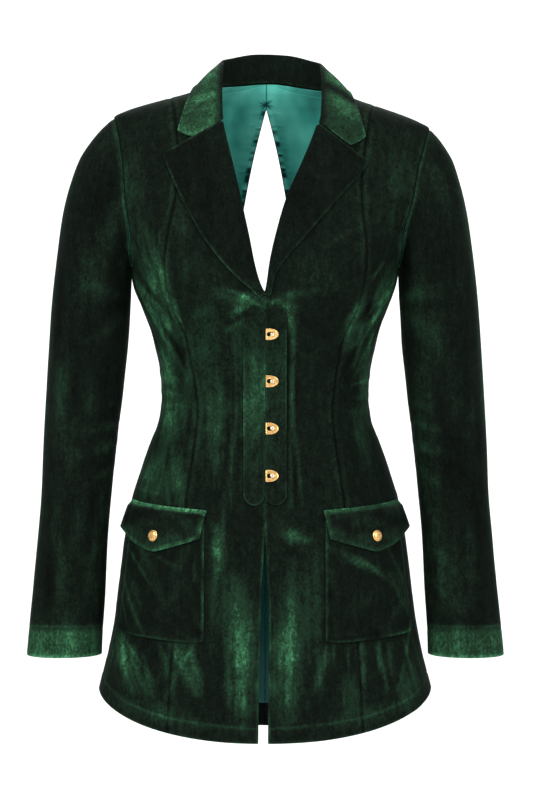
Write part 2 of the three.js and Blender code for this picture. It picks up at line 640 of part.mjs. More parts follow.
function spotAt(sign, x, z, lift) {
  return raised(bodySpot(sign * angleOf(x, z), z), lift);
}

// The lapel turns over the panel's roll edge and lies on the chest up to its peak
function addLapel({ name, sign }) {
  const grid = [];
  for (let row = 0; row <= LAPEL.rows; row += 1) {
    const t = row / LAPEL.rows;
    const innerZ = mix(V_BOTTOM_Z + 5, LAPEL.topInnerZ, t);
    const outerZ = mix(V_BOTTOM_Z + 1, LAPEL_PEAK_Z[name], t);
    const innerX = Math.max(neckEdgeAt[name](innerZ), 2.9);
    const outerX = Math.max(lapelEdgeAt[name](outerZ), innerX + 4);
    const line = [
      spotAt(sign, innerX - 2.3, innerZ, 0.3),
      spotAt(sign, innerX - 1.5, innerZ, 1.9),
    ];
    for (let column = 1; column <= LAPEL.columns; column += 1) {
      const s = column / LAPEL.columns;
      const x = mix(innerX + 1, outerX, s);
      line.push(spotAt(sign, x, mix(innerZ, outerZ, s), LAPEL.lift + 1.6 * (1 - s) * t));
    }
    grid.push(line);
  }
  const points = grid.map((line) => line.map((spot) => spot.point));
  add(`lapel_${name}`, wallGeometry(withNormals(points), TRIM_CLOTH), velvet());
}

// Lining of the back: the inside that shows through the neck and the front slit.
// It shares the back panels' rows, and stops short of the hem and the armhole.
function addBackLining({ name, sign }) {
  const drop = CLOTH / 2 + LINING_CLOTH / 2 + SEAM_GAP + 0.3;
  const grid = [];
  for (let row = 1; row < LAST_ROW; row += 1) {
    const centre = seams.centreBack(row, sign);
    const princess = seams.backPrincess(row);
    const side = seams.backSide(row);
    const line = [];
    for (let column = 0; column <= LINING.columns; column += 1) {
      const share = (column / LINING.columns) * (row > BODY_ROWS ? LINING.yokeReach : LINING.reach);
      const [from, to, part] = share < 0.5 ? [centre, princess, 2 * share] : [princess, side, 2 * share - 1];
      const z = mix(from.z, to.z, part);
      const loose = LINING.loose * (1 - smoothStep(LINING.looseZ, LINING.seatedZ, z));
      line.push(raised(bodySpot(sign * mix(from.angle, to.angle, part), z), -drop - loose));
    }
    grid.push(line);
  }
  add(`lining_back_${name}`, wallGeometry(drawnBack(grid, 1.2), LINING_CLOTH), satin());
}

function addBuskPanel({ name, sign }) {
  const rows = 12;
  const columns = 4;
  const grid = [];
  for (let row = 0; row <= rows; row += 1) {
    const line = [];
    for (let column = 0; column <= columns; column += 1) {
      const s = column / columns;
      const bend = Math.abs(2 * s - 1);
      const bottom = BUSK.bottomZ + BUSK.bottomRise * bend ** 2.4;
      const top = BUSK.topZ - BUSK.topRise * bend ** 2.2;
      line.push(spotAt(sign, mix(BUSK.inner, BUSK.outer, s), mix(bottom, top, row / rows), BUSK.lift));
    }
    grid.push(line);
  }
  add(`busk_panel_${name}`, wallGeometry(grid, TRIM_CLOTH), velvet());
}

// A frame on the body: x to the right, y up the cloth and z straight out of it
function frameOnBody(x, z, lift) {
  const spot = raised(bodySpot(angleOf(x, z), z), lift);
  const outwards = spot.normal;
  const right = new THREE.Vector3(0, 0, 1).cross(outwards).normalize();
  const up = outwards.clone().cross(right);
  return new THREE.Matrix4().makeBasis(right, up, outwards).setPosition(spot.point);
}

function place(mesh, matrix) {
  matrix.decompose(mesh.position, mesh.quaternion, mesh.scale);
}

// A shield-shaped loop plate with a keyhole: a round eye running into a slot
function loopGeometry() {
  const shape = new THREE.Shape();
  shape.moveTo(LOOP.flat, -LOOP.half);
  shape.lineTo(LOOP.shoulder, -LOOP.half);
  shape.bezierCurveTo(LOOP.shoulder + 6, -LOOP.half, LOOP.nose, -LOOP.half + 3, LOOP.nose, 0);
  shape.bezierCurveTo(LOOP.nose, LOOP.half - 3, LOOP.shoulder + 6, LOOP.half, LOOP.shoulder, LOOP.half);
  shape.lineTo(LOOP.flat, LOOP.half);
  const eye = LOOP.shoulder;
  const open = Math.asin(LOOP.slot / LOOP.hole);
  const keyhole = new THREE.Path();
  keyhole.absarc(eye, 0, LOOP.hole, open, 2 * Math.PI - open, false);
  keyhole.absarc(STUD.along, 0, LOOP.slot, -Math.PI / 2, Math.PI / 2, false);
  shape.holes.push(keyhole);
  return new THREE.ExtrudeGeometry(shape, { depth: LOOP.thick, bevelEnabled: false, curveSegments: 7 });
}

function latheOutwards(profile, segments) {
  const points = profile.map(([r, y]) => new THREE.Vector2(r, y));
  return new THREE.LatheGeometry(points, segments).rotateX(Math.PI / 2);
}

function addBusk() {
  const foot = BUSK.lift + TRIM_CLOTH / 2 + SEAM_GAP - LOOP_LIFT;
  const under = LOOP.thick + SEAM_GAP;
  BUSK_HEIGHTS.forEach((z, i) => {
    const loop = add(`busk_loop_${i + 1}`, loopGeometry(), brass());
    const middle = (LOOP.flat + LOOP.nose) / 2;
    const toMiddle = new THREE.Matrix4().makeTranslation(-middle, 0, 0);
    place(loop, frameOnBody(middle, z, LOOP_LIFT).multiply(toMiddle));
    const stud = add(`busk_stud_${i + 1}`, latheOutwards([
      [0, foot], [STUD.neck, foot], [STUD.neck, under], [STUD.head, under], [STUD.head, under + 0.5],
      [STUD.head * 0.72, under + STUD.dome * 0.82], [0, under + STUD.dome],
    ], 12), brass());
    place(stud, frameOnBody(STUD.along, z, LOOP_LIFT));
  });
}

// How far a pocket's cloth stands off the body
function pocketLift(angle, z) {
  const inner = angleOf(POCKET.innerX, z);
  const s = clamp01((angle - inner) / (radians(POCKET.outerAngle) - inner));
  const t = clamp01((z - POCKET.bottomInnerZ) / (POCKET.topZ - POCKET.bottomInnerZ));
  const full = Math.sin(Math.PI * s) ** 0.8 * Math.sin(Math.PI * mix(0.04, 0.72, t)) ** 0.8;
  return CLOTH / 2 + TRIM_CLOTH / 2 + SEAM_GAP + 0.2 + POCKET.bulge * full;
}

function addPocket({ name, sign }) {
  const cells = 8;
  const grid = [];
  for (let row = 0; row <= cells; row += 1) {
    const line = [];
    for (let column = 0; column <= cells; column += 1) {
      const s = column / cells;
      const bottom = mix(POCKET.bottomInnerZ, POCKET.bottomOuterZ, s) + 4 * Math.abs(2 * s - 1) ** 8;
      const z = mix(bottom, POCKET.topZ + 6 * s, row / cells);
      const angle = mix(angleOf(POCKET.innerX, z), radians(POCKET.outerAngle), s);
      line.push(raised(bodySpot(sign * angle, z), pocketLift(angle, z)));
    }
    grid.push(line);
  }
  add(`pocket_${name}`, wallGeometry(grid, TRIM_CLOTH), velvet());
}

function flapSpot(sign, s, t) {
  const top = mix(FLAP.topInnerZ, FLAP.topOuterZ, s);
  const height = mix(FLAP.side, FLAP.point, 1 - Math.abs(2 * s - 1) ** 1.15);
  const z = top - height * t;
  const inner = angleOf(mix(FLAP.innerTopX, FLAP.innerBottomX, t), z);
  const angle = mix(inner, radians(FLAP.outerAngle), s);
  const seated = CLOTH / 2 + TRIM_CLOTH / 2 + SEAM_GAP;
  const over = pocketLift(angle, z) + TRIM_CLOTH + 4 * SEAM_GAP;
  const lift = mix(seated, over, smoothStep(0, 0.24, t)) + FLAP.flare * t * s ** 4;
  return raised(bodySpot(sign * angle, z), lift);
}

// The flap hangs from its top edge to a point, with its upper band raised
function addFlap({ name, sign }) {
  const columns = 8;
  const steps = [0, 0.08, 0.17, 0.24, 0.48, 0.74, 1];
  const grid = steps.map((t) => {
    const line = [];
    for (let column = 0; column <= columns; column += 1) line.push(flapSpot(sign, column / columns, t));
    return line;
  });
  add(`pocket_flap_${name}`, wallGeometry(grid, TRIM_CLOTH), velvet());
}

function addSnap({ name, sign }) {
  const { radius, height } = SNAP;
  const geometry = latheOutwards([
    [0, 0], [radius, 0], [radius, 0.8], [radius * 0.88, 1.1], [radius * 0.82, height * 0.72],
    [radius * 0.5, height * 0.95], [0, height],
  ], 16);
  const snap = add(`snap_${name}`, geometry, brass());
  const s = (radians(SNAP.angle) - angleOf(FLAP.innerTopX, SNAP.z))
    / (radians(FLAP.outerAngle) - angleOf(FLAP.innerTopX, SNAP.z));
  const top = mix(FLAP.topInnerZ, FLAP.topOuterZ, s);
  const tall = mix(FLAP.side, FLAP.point, 1 - Math.abs(2 * s - 1) ** 1.15);
  const spot = raised(flapSpot(sign, s, (top - SNAP.z) / tall), TRIM_CLOTH / 2 + SEAM_GAP + 0.5);
  snap.quaternion.setFromUnitVectors(new THREE.Vector3(0, 0, 1), spot.normal);
  snap.position.copy(spot.point);
}

for (const side of SIDES) {
  addBodyPanels(side);
  addSleeve(side);
  addCollar(side);
  addLapel(side);
  addBackLining(side);
  addBuskPanel(side);
  addPocket(side);
  addFlap(side);
  addSnap(side);
}
addBusk();

export default jacket;
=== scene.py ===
"""Velvet corset jacket, worn and hollow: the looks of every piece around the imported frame.

Shapes are worked out in millimetres, with +X to the viewer's right, the front towards -Y
and +Z up, and the origin between the shoulder seams at the height of the sides of the neck.
"""

from __future__ import annotations

import logging
import math
from dataclasses import dataclass, field
from enum import Enum
from typing import Callable, NamedTuple, Sequence

import bpy
import numpy as np
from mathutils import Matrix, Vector

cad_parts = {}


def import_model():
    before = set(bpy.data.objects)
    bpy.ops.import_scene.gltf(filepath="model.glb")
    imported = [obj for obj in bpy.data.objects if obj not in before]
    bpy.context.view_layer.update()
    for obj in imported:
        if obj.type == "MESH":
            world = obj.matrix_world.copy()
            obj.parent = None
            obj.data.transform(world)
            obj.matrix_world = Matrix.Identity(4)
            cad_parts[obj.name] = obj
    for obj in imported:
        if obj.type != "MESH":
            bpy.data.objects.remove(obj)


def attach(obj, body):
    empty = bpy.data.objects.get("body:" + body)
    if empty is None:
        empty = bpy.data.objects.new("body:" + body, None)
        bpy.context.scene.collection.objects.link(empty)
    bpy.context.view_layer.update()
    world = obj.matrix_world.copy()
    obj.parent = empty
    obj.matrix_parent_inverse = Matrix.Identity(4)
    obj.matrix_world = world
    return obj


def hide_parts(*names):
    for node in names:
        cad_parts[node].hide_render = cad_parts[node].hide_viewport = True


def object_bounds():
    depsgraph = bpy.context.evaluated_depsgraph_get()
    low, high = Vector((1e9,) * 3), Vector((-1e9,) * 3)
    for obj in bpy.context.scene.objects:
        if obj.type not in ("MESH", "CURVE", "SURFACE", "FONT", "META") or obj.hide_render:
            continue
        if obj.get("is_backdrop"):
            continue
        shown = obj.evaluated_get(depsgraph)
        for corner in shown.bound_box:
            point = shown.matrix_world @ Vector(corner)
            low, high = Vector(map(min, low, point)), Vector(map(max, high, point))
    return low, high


LOG = logging.getLogger("jacket")
MM = 0.001
SEAM_GAP = 0.34
CLOTH = 1.8
SLEEVE_CLOTH = 1.6
TRIM_CLOTH = 1.5
LINING_CLOTH = 1.0
FACING = 14
FREE_EDGE = 30

Array = np.ndarray
Grid = tuple[Array, Array]


class Side(Enum):
    """The viewer's left and right of the jacket."""

    LEFT = "left"
    RIGHT = "right"

    @property
    def sign(self) -> int:
        """Gives -1 on the left and +1 on the right."""
        return -1 if self is Side.LEFT else 1


# Plain sums


def mix(a: Array | float, b: Array | float, t: Array | float) -> Array | float:
    """Gives the value a share t of the way from a to b."""
    return a + (b - a) * t


def smooth_step(start: float, end: float, value: Array | float) -> Array | float:
    """Rises smoothly from 0 at start to 1 at end."""
    t = np.clip((value - start) / (end - start), 0.0, 1.0)
    return t * t * (3 - 2 * t)


def signed_power(value: Array, power: float) -> Array:
    """Raises a value's size to a power and keeps its sign."""
    return np.sign(value) * np.abs(value) ** power


def unit(vectors: Array) -> Array:
    """Scales vectors to length 1."""
    return vectors / np.maximum(np.linalg.norm(vectors, axis=-1, keepdims=True), 1e-9)


def blend_points(a: Array, b: Array, t: Array) -> Array:
    """Mixes two arrays of points by a share for each point."""
    return a + (b - a) * np.asarray(t)[..., None]


class Curve:
    """A smooth curve through a table's two columns, held level past its ends."""

    def __init__(self, rows: Sequence[tuple[float, float]]) -> None:
        """Sorts the rows and works out the slope at each.

        Args:
            rows: pairs of position and value.
        """
        table = np.array(sorted(rows), dtype=float)
        self.at, self.values = table[:, 0], table[:, 1]
        steps = np.diff(self.values) / np.diff(self.at)
        slopes = np.zeros(len(self.values))
        before, after = steps[:-1], steps[1:]
        same = before * after > 0
        total = np.where(same, before + after, 1.0)
        slopes[1:-1] = np.where(same, 2 * before * after / total, 0.0)
        inner_first, inner_last = slopes[1], slopes[-2]
        slopes[0] = 1.5 * steps[0] - 0.5 * inner_first
        slopes[-1] = 1.5 * steps[-1] - 0.5 * inner_last
        self.slopes = slopes

    def __call__(self, query: Array | float) -> Array:
        """Gives the curve's value at each position.

        Args:
            query: one position or an array of them.

        Returns:
            The values, in the shape of the query.
        """
        query = np.clip(np.asarray(query, dtype=float), self.at[0], self.at[-1])
        i = np.clip(np.searchsorted(self.at, query, side="right") - 1, 0, len(self.at) - 2)
        span = self.at[i + 1] - self.at[i]
        t = (query - self.at[i]) / span
        t2, t3 = t * t, t * t * t
        return (
            self.values[i] * (2 * t3 - 3 * t2 + 1)
            + self.slopes[i] * span * (t3 - 2 * t2 + t)
            + self.values[i + 1] * (3 * t2 - 2 * t3)
            + self.slopes[i + 1] * span * (t3 - t2)
        )


def ripple(p: Array, q: Array, seed: int) -> Array:
    """Gives smooth uneven waves between -1 and 1, a unit apart in both directions.

    Args:
        p: first coordinate, in waves.
        q: second coordinate, in waves.
        seed: picks another pattern.

    Returns:
        The height of the waves at each point.
    """
    p, q = np.broadcast_arrays(np.asarray(p, dtype=float), np.asarray(q, dtype=float))
    cell_p, cell_q = np.floor(p), np.floor(q)
    fp, fq = p - cell_p, q - cell_q
    sp, sq = fp * fp * (3 - 2 * fp), fq * fq * (3 - 2 * fq)

    def corner(dp: int, dq: int) -> Array:
        """Gives the fixed chance value at a corner of the cell."""
        mixed = np.sin((cell_p + dp) * 127.1 + (cell_q + dq) * 311.7 + seed * 74.7) * 43758.5453
        return 2 * (mixed - np.floor(mixed)) - 1

    low = mix(corner(0, 0), corner(1, 0), sp)
    high = mix(corner(0, 1), corner(1, 1), sp)
    return mix(low, high, sq)


# The body's shape


class Level(NamedTuple):
    """One height of the body with its half width and its depths, in millimetres."""

    z: float
    half: float
    front: float
    back: float


BODY_LEVELS = (
    Level(-750, 206.0, 135.0, 134.0), Level(-688, 191.9, 127.0, 128.0),
    Level(-645, 181.4, 122.0, 124.0), Level(-610, 174.5, 119.0, 122.0),
    Level(-564, 168.6, 116.0, 120.0), Level(-517, 162.8, 112.0, 116.0),
    Level(-471, 154.1, 107.0, 108.0), Level(-425, 140.1, 99.0, 96.0),
    Level(-401, 131.4, 94.0, 90.0), Level(-378, 122.7, 90.0, 85.0),
    Level(-349, 119.2, 88.0, 82.0), Level(-320, 121.5, 91.0, 83.0),
    Level(-297, 126.2, 98.0, 85.5), Level(-273, 132.0, 106.0, 89.0),
    Level(-250, 139.6, 114.0, 93.0), Level(-227, 147.7, 119.0, 97.0),
    Level(-203, 153.0, 119.0, 100.0), Level(-170, 170.0, 114.0, 103.0),
    Level(-140, 186.0, 106.0, 103.0), Level(-115, 194.0, 99.0, 101.0),
    Level(-90, 197.0, 90.0, 98.0), Level(-60, 194.0, 79.0, 92.0),
    Level(-45, 189.5, 72.0, 88.0), Level(-33, 183.0, 65.0, 84.0),
    Level(-26, 170.0, 61.0, 81.0), Level(-17.5, 146.5, 55.0, 77.0),
    Level(-11, 125.0, 49.0, 74.0), Level(-6, 107.5, 42.0, 71.0),
    Level(0, 90.0, 31.0, 68.0), Level(4, 78.0, 21.0, 66.0),
    Level(8, 66.0, 11.0, 64.0), Level(13, 54.0, 6.0, 62.5), Level(20, 36.0, 3.0, 61.0),
)


class Fold(NamedTuple):
    """A soft fold on the body: its root and tail by angle in degrees and height.

    A crease leaves the solids' shape and is only in the finer surface.
    """

    sign: int
    a0: float
    z0: float
    a1: float
    z1: float
    crest: float
    spread: float


FOLDS = (
    Fold(-1, 84, -212, 34, -338, 3.4, 17), Fold(-1, 80, -232, 52, -386, 2.6, 16),
    Fold(1, 84, -215, 40, -330, 2.8, 17), Fold(1, 80, -238, 55, -380, 2.2, 16),
    Fold(-1, 74, -640, 40, -700, 3.0, 16), Fold(1, 30, -645, 16, -725, 3.2, 17),
    Fold(1, 64, -628, 60, -700, 2.6, 16), Fold(-1, 20, -520, 12, -735, 2.6, 19),
    Fold(1, 122, -430, 132, -720, 3.6, 22), Fold(-1, 126, -430, 137, -720, 3.2, 22),
    Fold(1, 160, -470, 163, -725, 3.0, 22), Fold(-1, 158, -470, 161, -725, 3.4, 22),
    Fold(1, 98, -214, 140, -320, 2.6, 18), Fold(-1, 98, -214, 138, -322, 2.8, 18),
)

CREASES = (
    # Drag lines from the underarm towards the bust and the waist
    Fold(-1, 88, -204, 58, -246, 1.9, 5.5), Fold(-1, 86, -208, 52, -282, 1.7, 6.5),
    Fold(-1, 85, -214, 50, -316, 1.4, 6.0), Fold(-1, 88, -226, 60, -338, 1.3, 5.0),
    Fold(-1, 70, -212, 47, -262, -1.4, 5.0), Fold(-1, 66, -240, 45, -318, -1.2, 5.5),
    Fold(-1, 82, -196, 62, -176, 1.2, 5.0), Fold(-1, 78, -184, 60, -146, 1.0, 6.0),
    Fold(1, 88, -206, 60, -252, 1.6, 5.5), Fold(1, 86, -212, 54, -292, 1.5, 6.5),
    Fold(1, 87, -222, 56, -330, 1.2, 5.5), Fold(1, 68, -216, 49, -268, -1.2, 5.0),
    Fold(1, 80, -194, 62, -168, 1.0, 5.5), Fold(1, 64, -250, 46, -322, -1.0, 5.5),
    # Short pulls across the side of the waist
    Fold(-1, 89, -322, 62, -334, 0.9, 4.0), Fold(-1, 90, -343, 60, -349, 1.0, 4.5),
    Fold(-1, 88, -362, 64, -360, 0.8, 4.0), Fold(-1, 88, -382, 58, -372, 0.8, 4.5),
    Fold(1, 89, -326, 64, -336, 0.8, 4.0), Fold(1, 90, -348, 62, -350, 0.9, 4.5),
    Fold(1, 88, -368, 60, -364, 0.8, 4.5), Fold(1, 86, -390, 66, -380, 0.7, 4.0),
    # Swags from the top of the busk
    Fold(-1, 1.2, -243, 15, -258, 1.5, 4.0), Fold(-1, 2.5, -238, 19, -240, 1.2, 4.5),
    Fold(-1, 9, -256, 12.5, -300, 1.0, 4.0), Fold(1, 1.2, -243, 14, -252, 1.2, 4.0),
    Fold(1, 10, -254, 14, -296, 0.9, 4.0), Fold(1, 3, -238, 20, -232, 1.0, 4.5),
    # Bone channels beside the busk
    Fold(1, 13.2, -244, 13.8, -474, 1.3, 2.6), Fold(-1, 13.6, -252, 13.6, -470, 0.8, 2.6),
    Fold(1, 10.6, -240, 11.4, -474, -0.7, 1.8), Fold(-1, 16.2, -268, 16.6, -460, -0.6, 2.2),
    # Gathers and pulls below the pockets
    Fold(1, 36, -632, 34, -676, 1.5, 4.5), Fold(1, 44, -632, 45, -690, 1.6, 4.5),
    Fold(1, 50, -630, 49, -668, 1.2, 4.0), Fold(1, 62, -628, 64, -684, 1.5, 5.0),
    Fold(1, 22, -634, 15, -684, 1.7, 5.0), Fold(1, 70, -622, 73, -676, 1.2, 4.5),
    Fold(-1, 68, -624, 56, -672, 1.8, 5.0), Fold(-1, 57, -640, 42, -690, 1.7, 5.0),
    Fold(-1, 74, -622, 73, -682, 1.5, 4.5), Fold(-1, 26, -634, 20, -688, 1.7, 5.0),
    Fold(-1, 40, -634, 33, -672, 1.1, 4.5),
    # Long soft falls of the skirt's front and its back
    Fold(-1, 8, -560, 6, -722, 1.3, 7.0), Fold(1, 9, -540, 7, -716, 1.4, 7.0),
    Fold(1, 19, -520, 17, -650, 1.1, 6.0), Fold(-1, 18, -500, 17, -640, 1.0, 6.0),
    Fold(1, 108, -430, 112, -690, 1.8, 9.0), Fold(-1, 106, -440, 110, -690, 1.6, 9.0),
    Fold(1, 146, -440, 150, -720, 1.9, 9.0), Fold(-1, 148, -440, 152, -720, 1.7, 9.0),
    Fold(1, 172, -480, 173, -725, 1.4, 8.0), Fold(-1, 171, -470, 172, -725, 1.6, 8.0),
    # Pulls of the back towards the underarm and the waist
    Fold(1, 94, -208, 122, -268, 1.6, 6.0), Fold(-1, 94, -208, 121, -272, 1.6, 6.0),
    Fold(1, 96, -220, 132, -312, 1.4, 6.0), Fold(-1, 96, -222, 130, -308, 1.4, 6.0),
    Fold(1, 92, -340, 128, -346, 1.0, 4.5), Fold(-1, 92, -338, 126, -348, 1.0, 4.5),
    Fold(1, 96, -362, 134, -356, 0.9, 4.5), Fold(-1, 95, -366, 136, -358, 0.9, 4.5),
    Fold(1, 150, -110, 158, -210, 1.0, 7.0), Fold(-1, 150, -104, 157, -206, 1.1, 7.0),
)


def ridge(p: Array, q: Array, start: tuple[float, float], end: tuple[float, float], width: float) -> Array:
    """Gives a soft ridge of height 1 along a line that fades at both ends.

    Args:
        p: first coordinate of each point, in millimetres.
        q: second coordinate of each point, in millimetres.
        start: where the ridge starts.
        end: where the ridge ends.
        width: half width of the ridge, in millimetres.

    Returns:
        The ridge's height at each point.
    """
    dp, dq = end[0] - start[0], end[1] - start[1]
    along = np.clip(((p - start[0]) * dp + (q - start[1]) * dq) / (dp * dp + dq * dq), 0, 1)
    away = np.hypot(p - start[0] - dp * along, q - start[1] - dq * along) / width
    return np.sin(math.pi * mix(0.12, 0.88, along)) * np.exp(-away * away)


@dataclass
class BodyShape:
    """The worn body of the jacket as one smooth surface round a general figure."""

    roundness: float = 2.2
    bust_angle: float = 0.62
    bust_z: float = -195.0
    bust_height: float = 11.0
    bust_spread_angle: float = 0.34
    bust_spread_z: float = 50.0
    lean_shift: float = 8.0
    lean_slope: float = 0.036
    lean_from: float = -230.0
    lean_to: float = -20.0
    hem_side: float = -687.0
    hem_drop: float = 56.0
    hem_power: float = 1.35
    half: Curve = field(default_factory=lambda: Curve([(r.z, r.half) for r in BODY_LEVELS]))
    front: Curve = field(default_factory=lambda: Curve([(r.z, r.front) for r in BODY_LEVELS]))
    back: Curve = field(default_factory=lambda: Curve([(r.z, r.back) for r in BODY_LEVELS]))

    def angle(self, x: Array | float, z: Array | float) -> Array:
        """Gives the angle round the body of a distance from the centre line, on the front."""
        share = np.minimum(1.0, np.abs(x) / self.half(z))
        return np.sign(x) * np.arcsin(share ** (self.roundness / 2))

    def hem(self, angle: Array | float) -> Array:
        """Gives the hem's height at an angle."""
        return self.hem_side - self.hem_drop * np.abs(np.cos(angle)) ** self.hem_power

    def folds(self, angle: Array, z: Array, rows: Sequence[Fold]) -> Array:
        """Adds up soft folds at each angle and height."""
        reach = self.half(z)
        total = np.zeros(np.broadcast(angle, z).shape)
        for row in rows:
            near = (z > min(row.z0, row.z1) - 4 * row.spread) & (z < max(row.z0, row.z1) + 4 * row.spread)
            if not near.any():
                continue
            a0, a1 = math.radians(row.a0) * reach, math.radians(row.a1) * reach
            da, dz = a1 - a0, row.z1 - row.z0
            pa, pz = row.sign * angle * reach - a0, z - row.z0
            along = np.clip((pa * da + pz * dz) / (da * da + dz * dz), 0, 1)
            away = np.hypot(pa - da * along, pz - dz * along) / row.spread
            total = total + row.crest * np.sin(math.pi * mix(0.12, 0.88, along)) * np.exp(-away * away)
        return total

    def lean(self, points: Array) -> Array:
        """Moves the shoulders a little towards +X and lower there."""
        share = smooth_step(self.lean_from, self.lean_to, points[..., 2])
        leaned = points.copy()
        leaned[..., 2] -= self.lean_slope * points[..., 0] * share
        leaned[..., 0] += self.lean_shift * share
        return leaned

    def point(self, angle: Array, z: Array, fine: bool = True) -> Array:
        """Gives the surface's points.

        Args:
            angle: angles round the body, 0 at the centre front and positive towards +X.
            z: heights before the shoulders' lean.
            fine: adds the creases to the large folds.

        Returns:
            The points, in millimetres.
        """
        angle, z = np.broadcast_arrays(np.asarray(angle, float), np.asarray(z, float))
        half = self.half(z)
        depth = np.where(np.cos(angle) > 0, self.front(z), self.back(z))
        power = 2 / self.roundness
        x = half * signed_power(np.sin(angle), power)
        y = -depth * signed_power(np.cos(angle), power)
        out = unit(np.stack([x / half**2, y / depth**2, np.zeros_like(x)], axis=-1))
        bust = (np.abs(angle) - self.bust_angle) / self.bust_spread_angle
        level = (z - self.bust_z) / self.bust_spread_z
        stand = self.bust_height * np.exp(-bust * bust - level * level) + self.folds(angle, z, FOLDS)
        if fine:
            stand = stand + self.folds(angle, z, CREASES)
        return self.lean(np.stack([x, y, z], axis=-1) + out * stand[..., None])

    def spot(self, angle: Array, z: Array, lift: Array | float = 0.0, fine: bool = True) -> Grid:
        """Gives the surface's points, raised by a lift along their normals, and the normals."""
        step_angle, step_z = 0.006, 1.2
        across = self.point(angle + step_angle, z, fine) - self.point(angle - step_angle, z, fine)
        up = self.point(angle, z + step_z, fine) - self.point(angle, z - step_z, fine)
        normal = unit(np.cross(across, up))
        lift = np.broadcast_to(np.asarray(lift, float), normal.shape[:-1])
        return self.point(angle, z, fine) + normal * lift[..., None], normal


SHAPE = BodyShape()
NECK_EDGE = {
    Side.LEFT: Curve([
        (-235, 0.4), (-229, 5), (-212, 11.6), (-167, 22.8), (-128.5, 33.2), (-82.5, 46.6),
        (-41.5, 57.6), (-20, 61.5), (-10, 63.5), (0, 65.5), (4, 66.2), (8, 66),
    ]),
    Side.RIGHT: Curve([
        (-235, 0.4), (-229, 3.2), (-195, 7.9), (-163.5, 13.7), (-123.5, 23.4), (-82.5, 38.4),
        (-42.5, 52.6), (-20, 59.4), (-10, 62.6), (0, 65.3), (4, 66.2), (8, 66),
    ]),
}
FRONT_PRINCESS = Curve([
    (-750, 112), (-600, 103), (-470, 90), (-420, 82.7), (-366, 77), (-333, 79.8), (-308, 83.8),
    (-282, 90), (-262, 99), (-245, 105), (-203, 109.5), (-156, 108.5), (-103, 105), (-29, 112), (-9, 118),
])
BACK_PRINCESS = Curve([
    (-750, 102), (-600, 93), (-470, 78), (-349, 58), (-270, 74),
    (-200, 92), (-103, 100), (-29, 112), (-9, 118),
])
ARMHOLE = Curve([(-200, 153), (-160, 157), (-125, 165), (-90, 169.8), (-65, 174.5), (-45, 179.5), (-33, 183)])
KEYHOLE = Curve([
    (-322, 0), (-290, 17), (-240, 33), (-190, 36), (-123, 25.5), (-75, 16.5), (-36, 7.2), (-10, 0),
])
CENTRE_BACK_SHIFT = 6.5

UNDERARM_Z = -200.0
SHOULDER_TIP_Z = -33.0
SHOULDER_PRINCESS_Z = -9.0
NECK_SIDE_Z = 8.0
NECK_BACK_Z = 17.0
V_BOTTOM_Z = -235.0
SLIT = {
    Side.LEFT: Curve([
        (-740, 8.0), (-700, 7.8), (-640, 6.6), (-594, 5.4), (-563, 4.0), (-526, 1.9), (-505, 0.5), (-495, 0),
    ]),
    Side.RIGHT: Curve([
        (-740, 3.8), (-700, 4.2), (-640, 5.2), (-594, 5.2), (-563, 3.8), (-526, 1.5), (-505, 0.4), (-495, 0),
    ]),
}
BODY_ROWS = 19
YOKE_ROWS = 10
LAST_ROW = BODY_ROWS + YOKE_ROWS


def row_height(row: Array, bottom: Array | float, middle: float, top: float) -> Array:
    """Gives a seam's height at a row: even steps below the underarm, rounded ones above."""
    share = (1 - np.cos(math.pi * np.clip(row - BODY_ROWS, 0, None) / YOKE_ROWS)) / 2
    return np.where(row <= BODY_ROWS, mix(bottom, middle, row / BODY_ROWS), mix(middle, top, share))


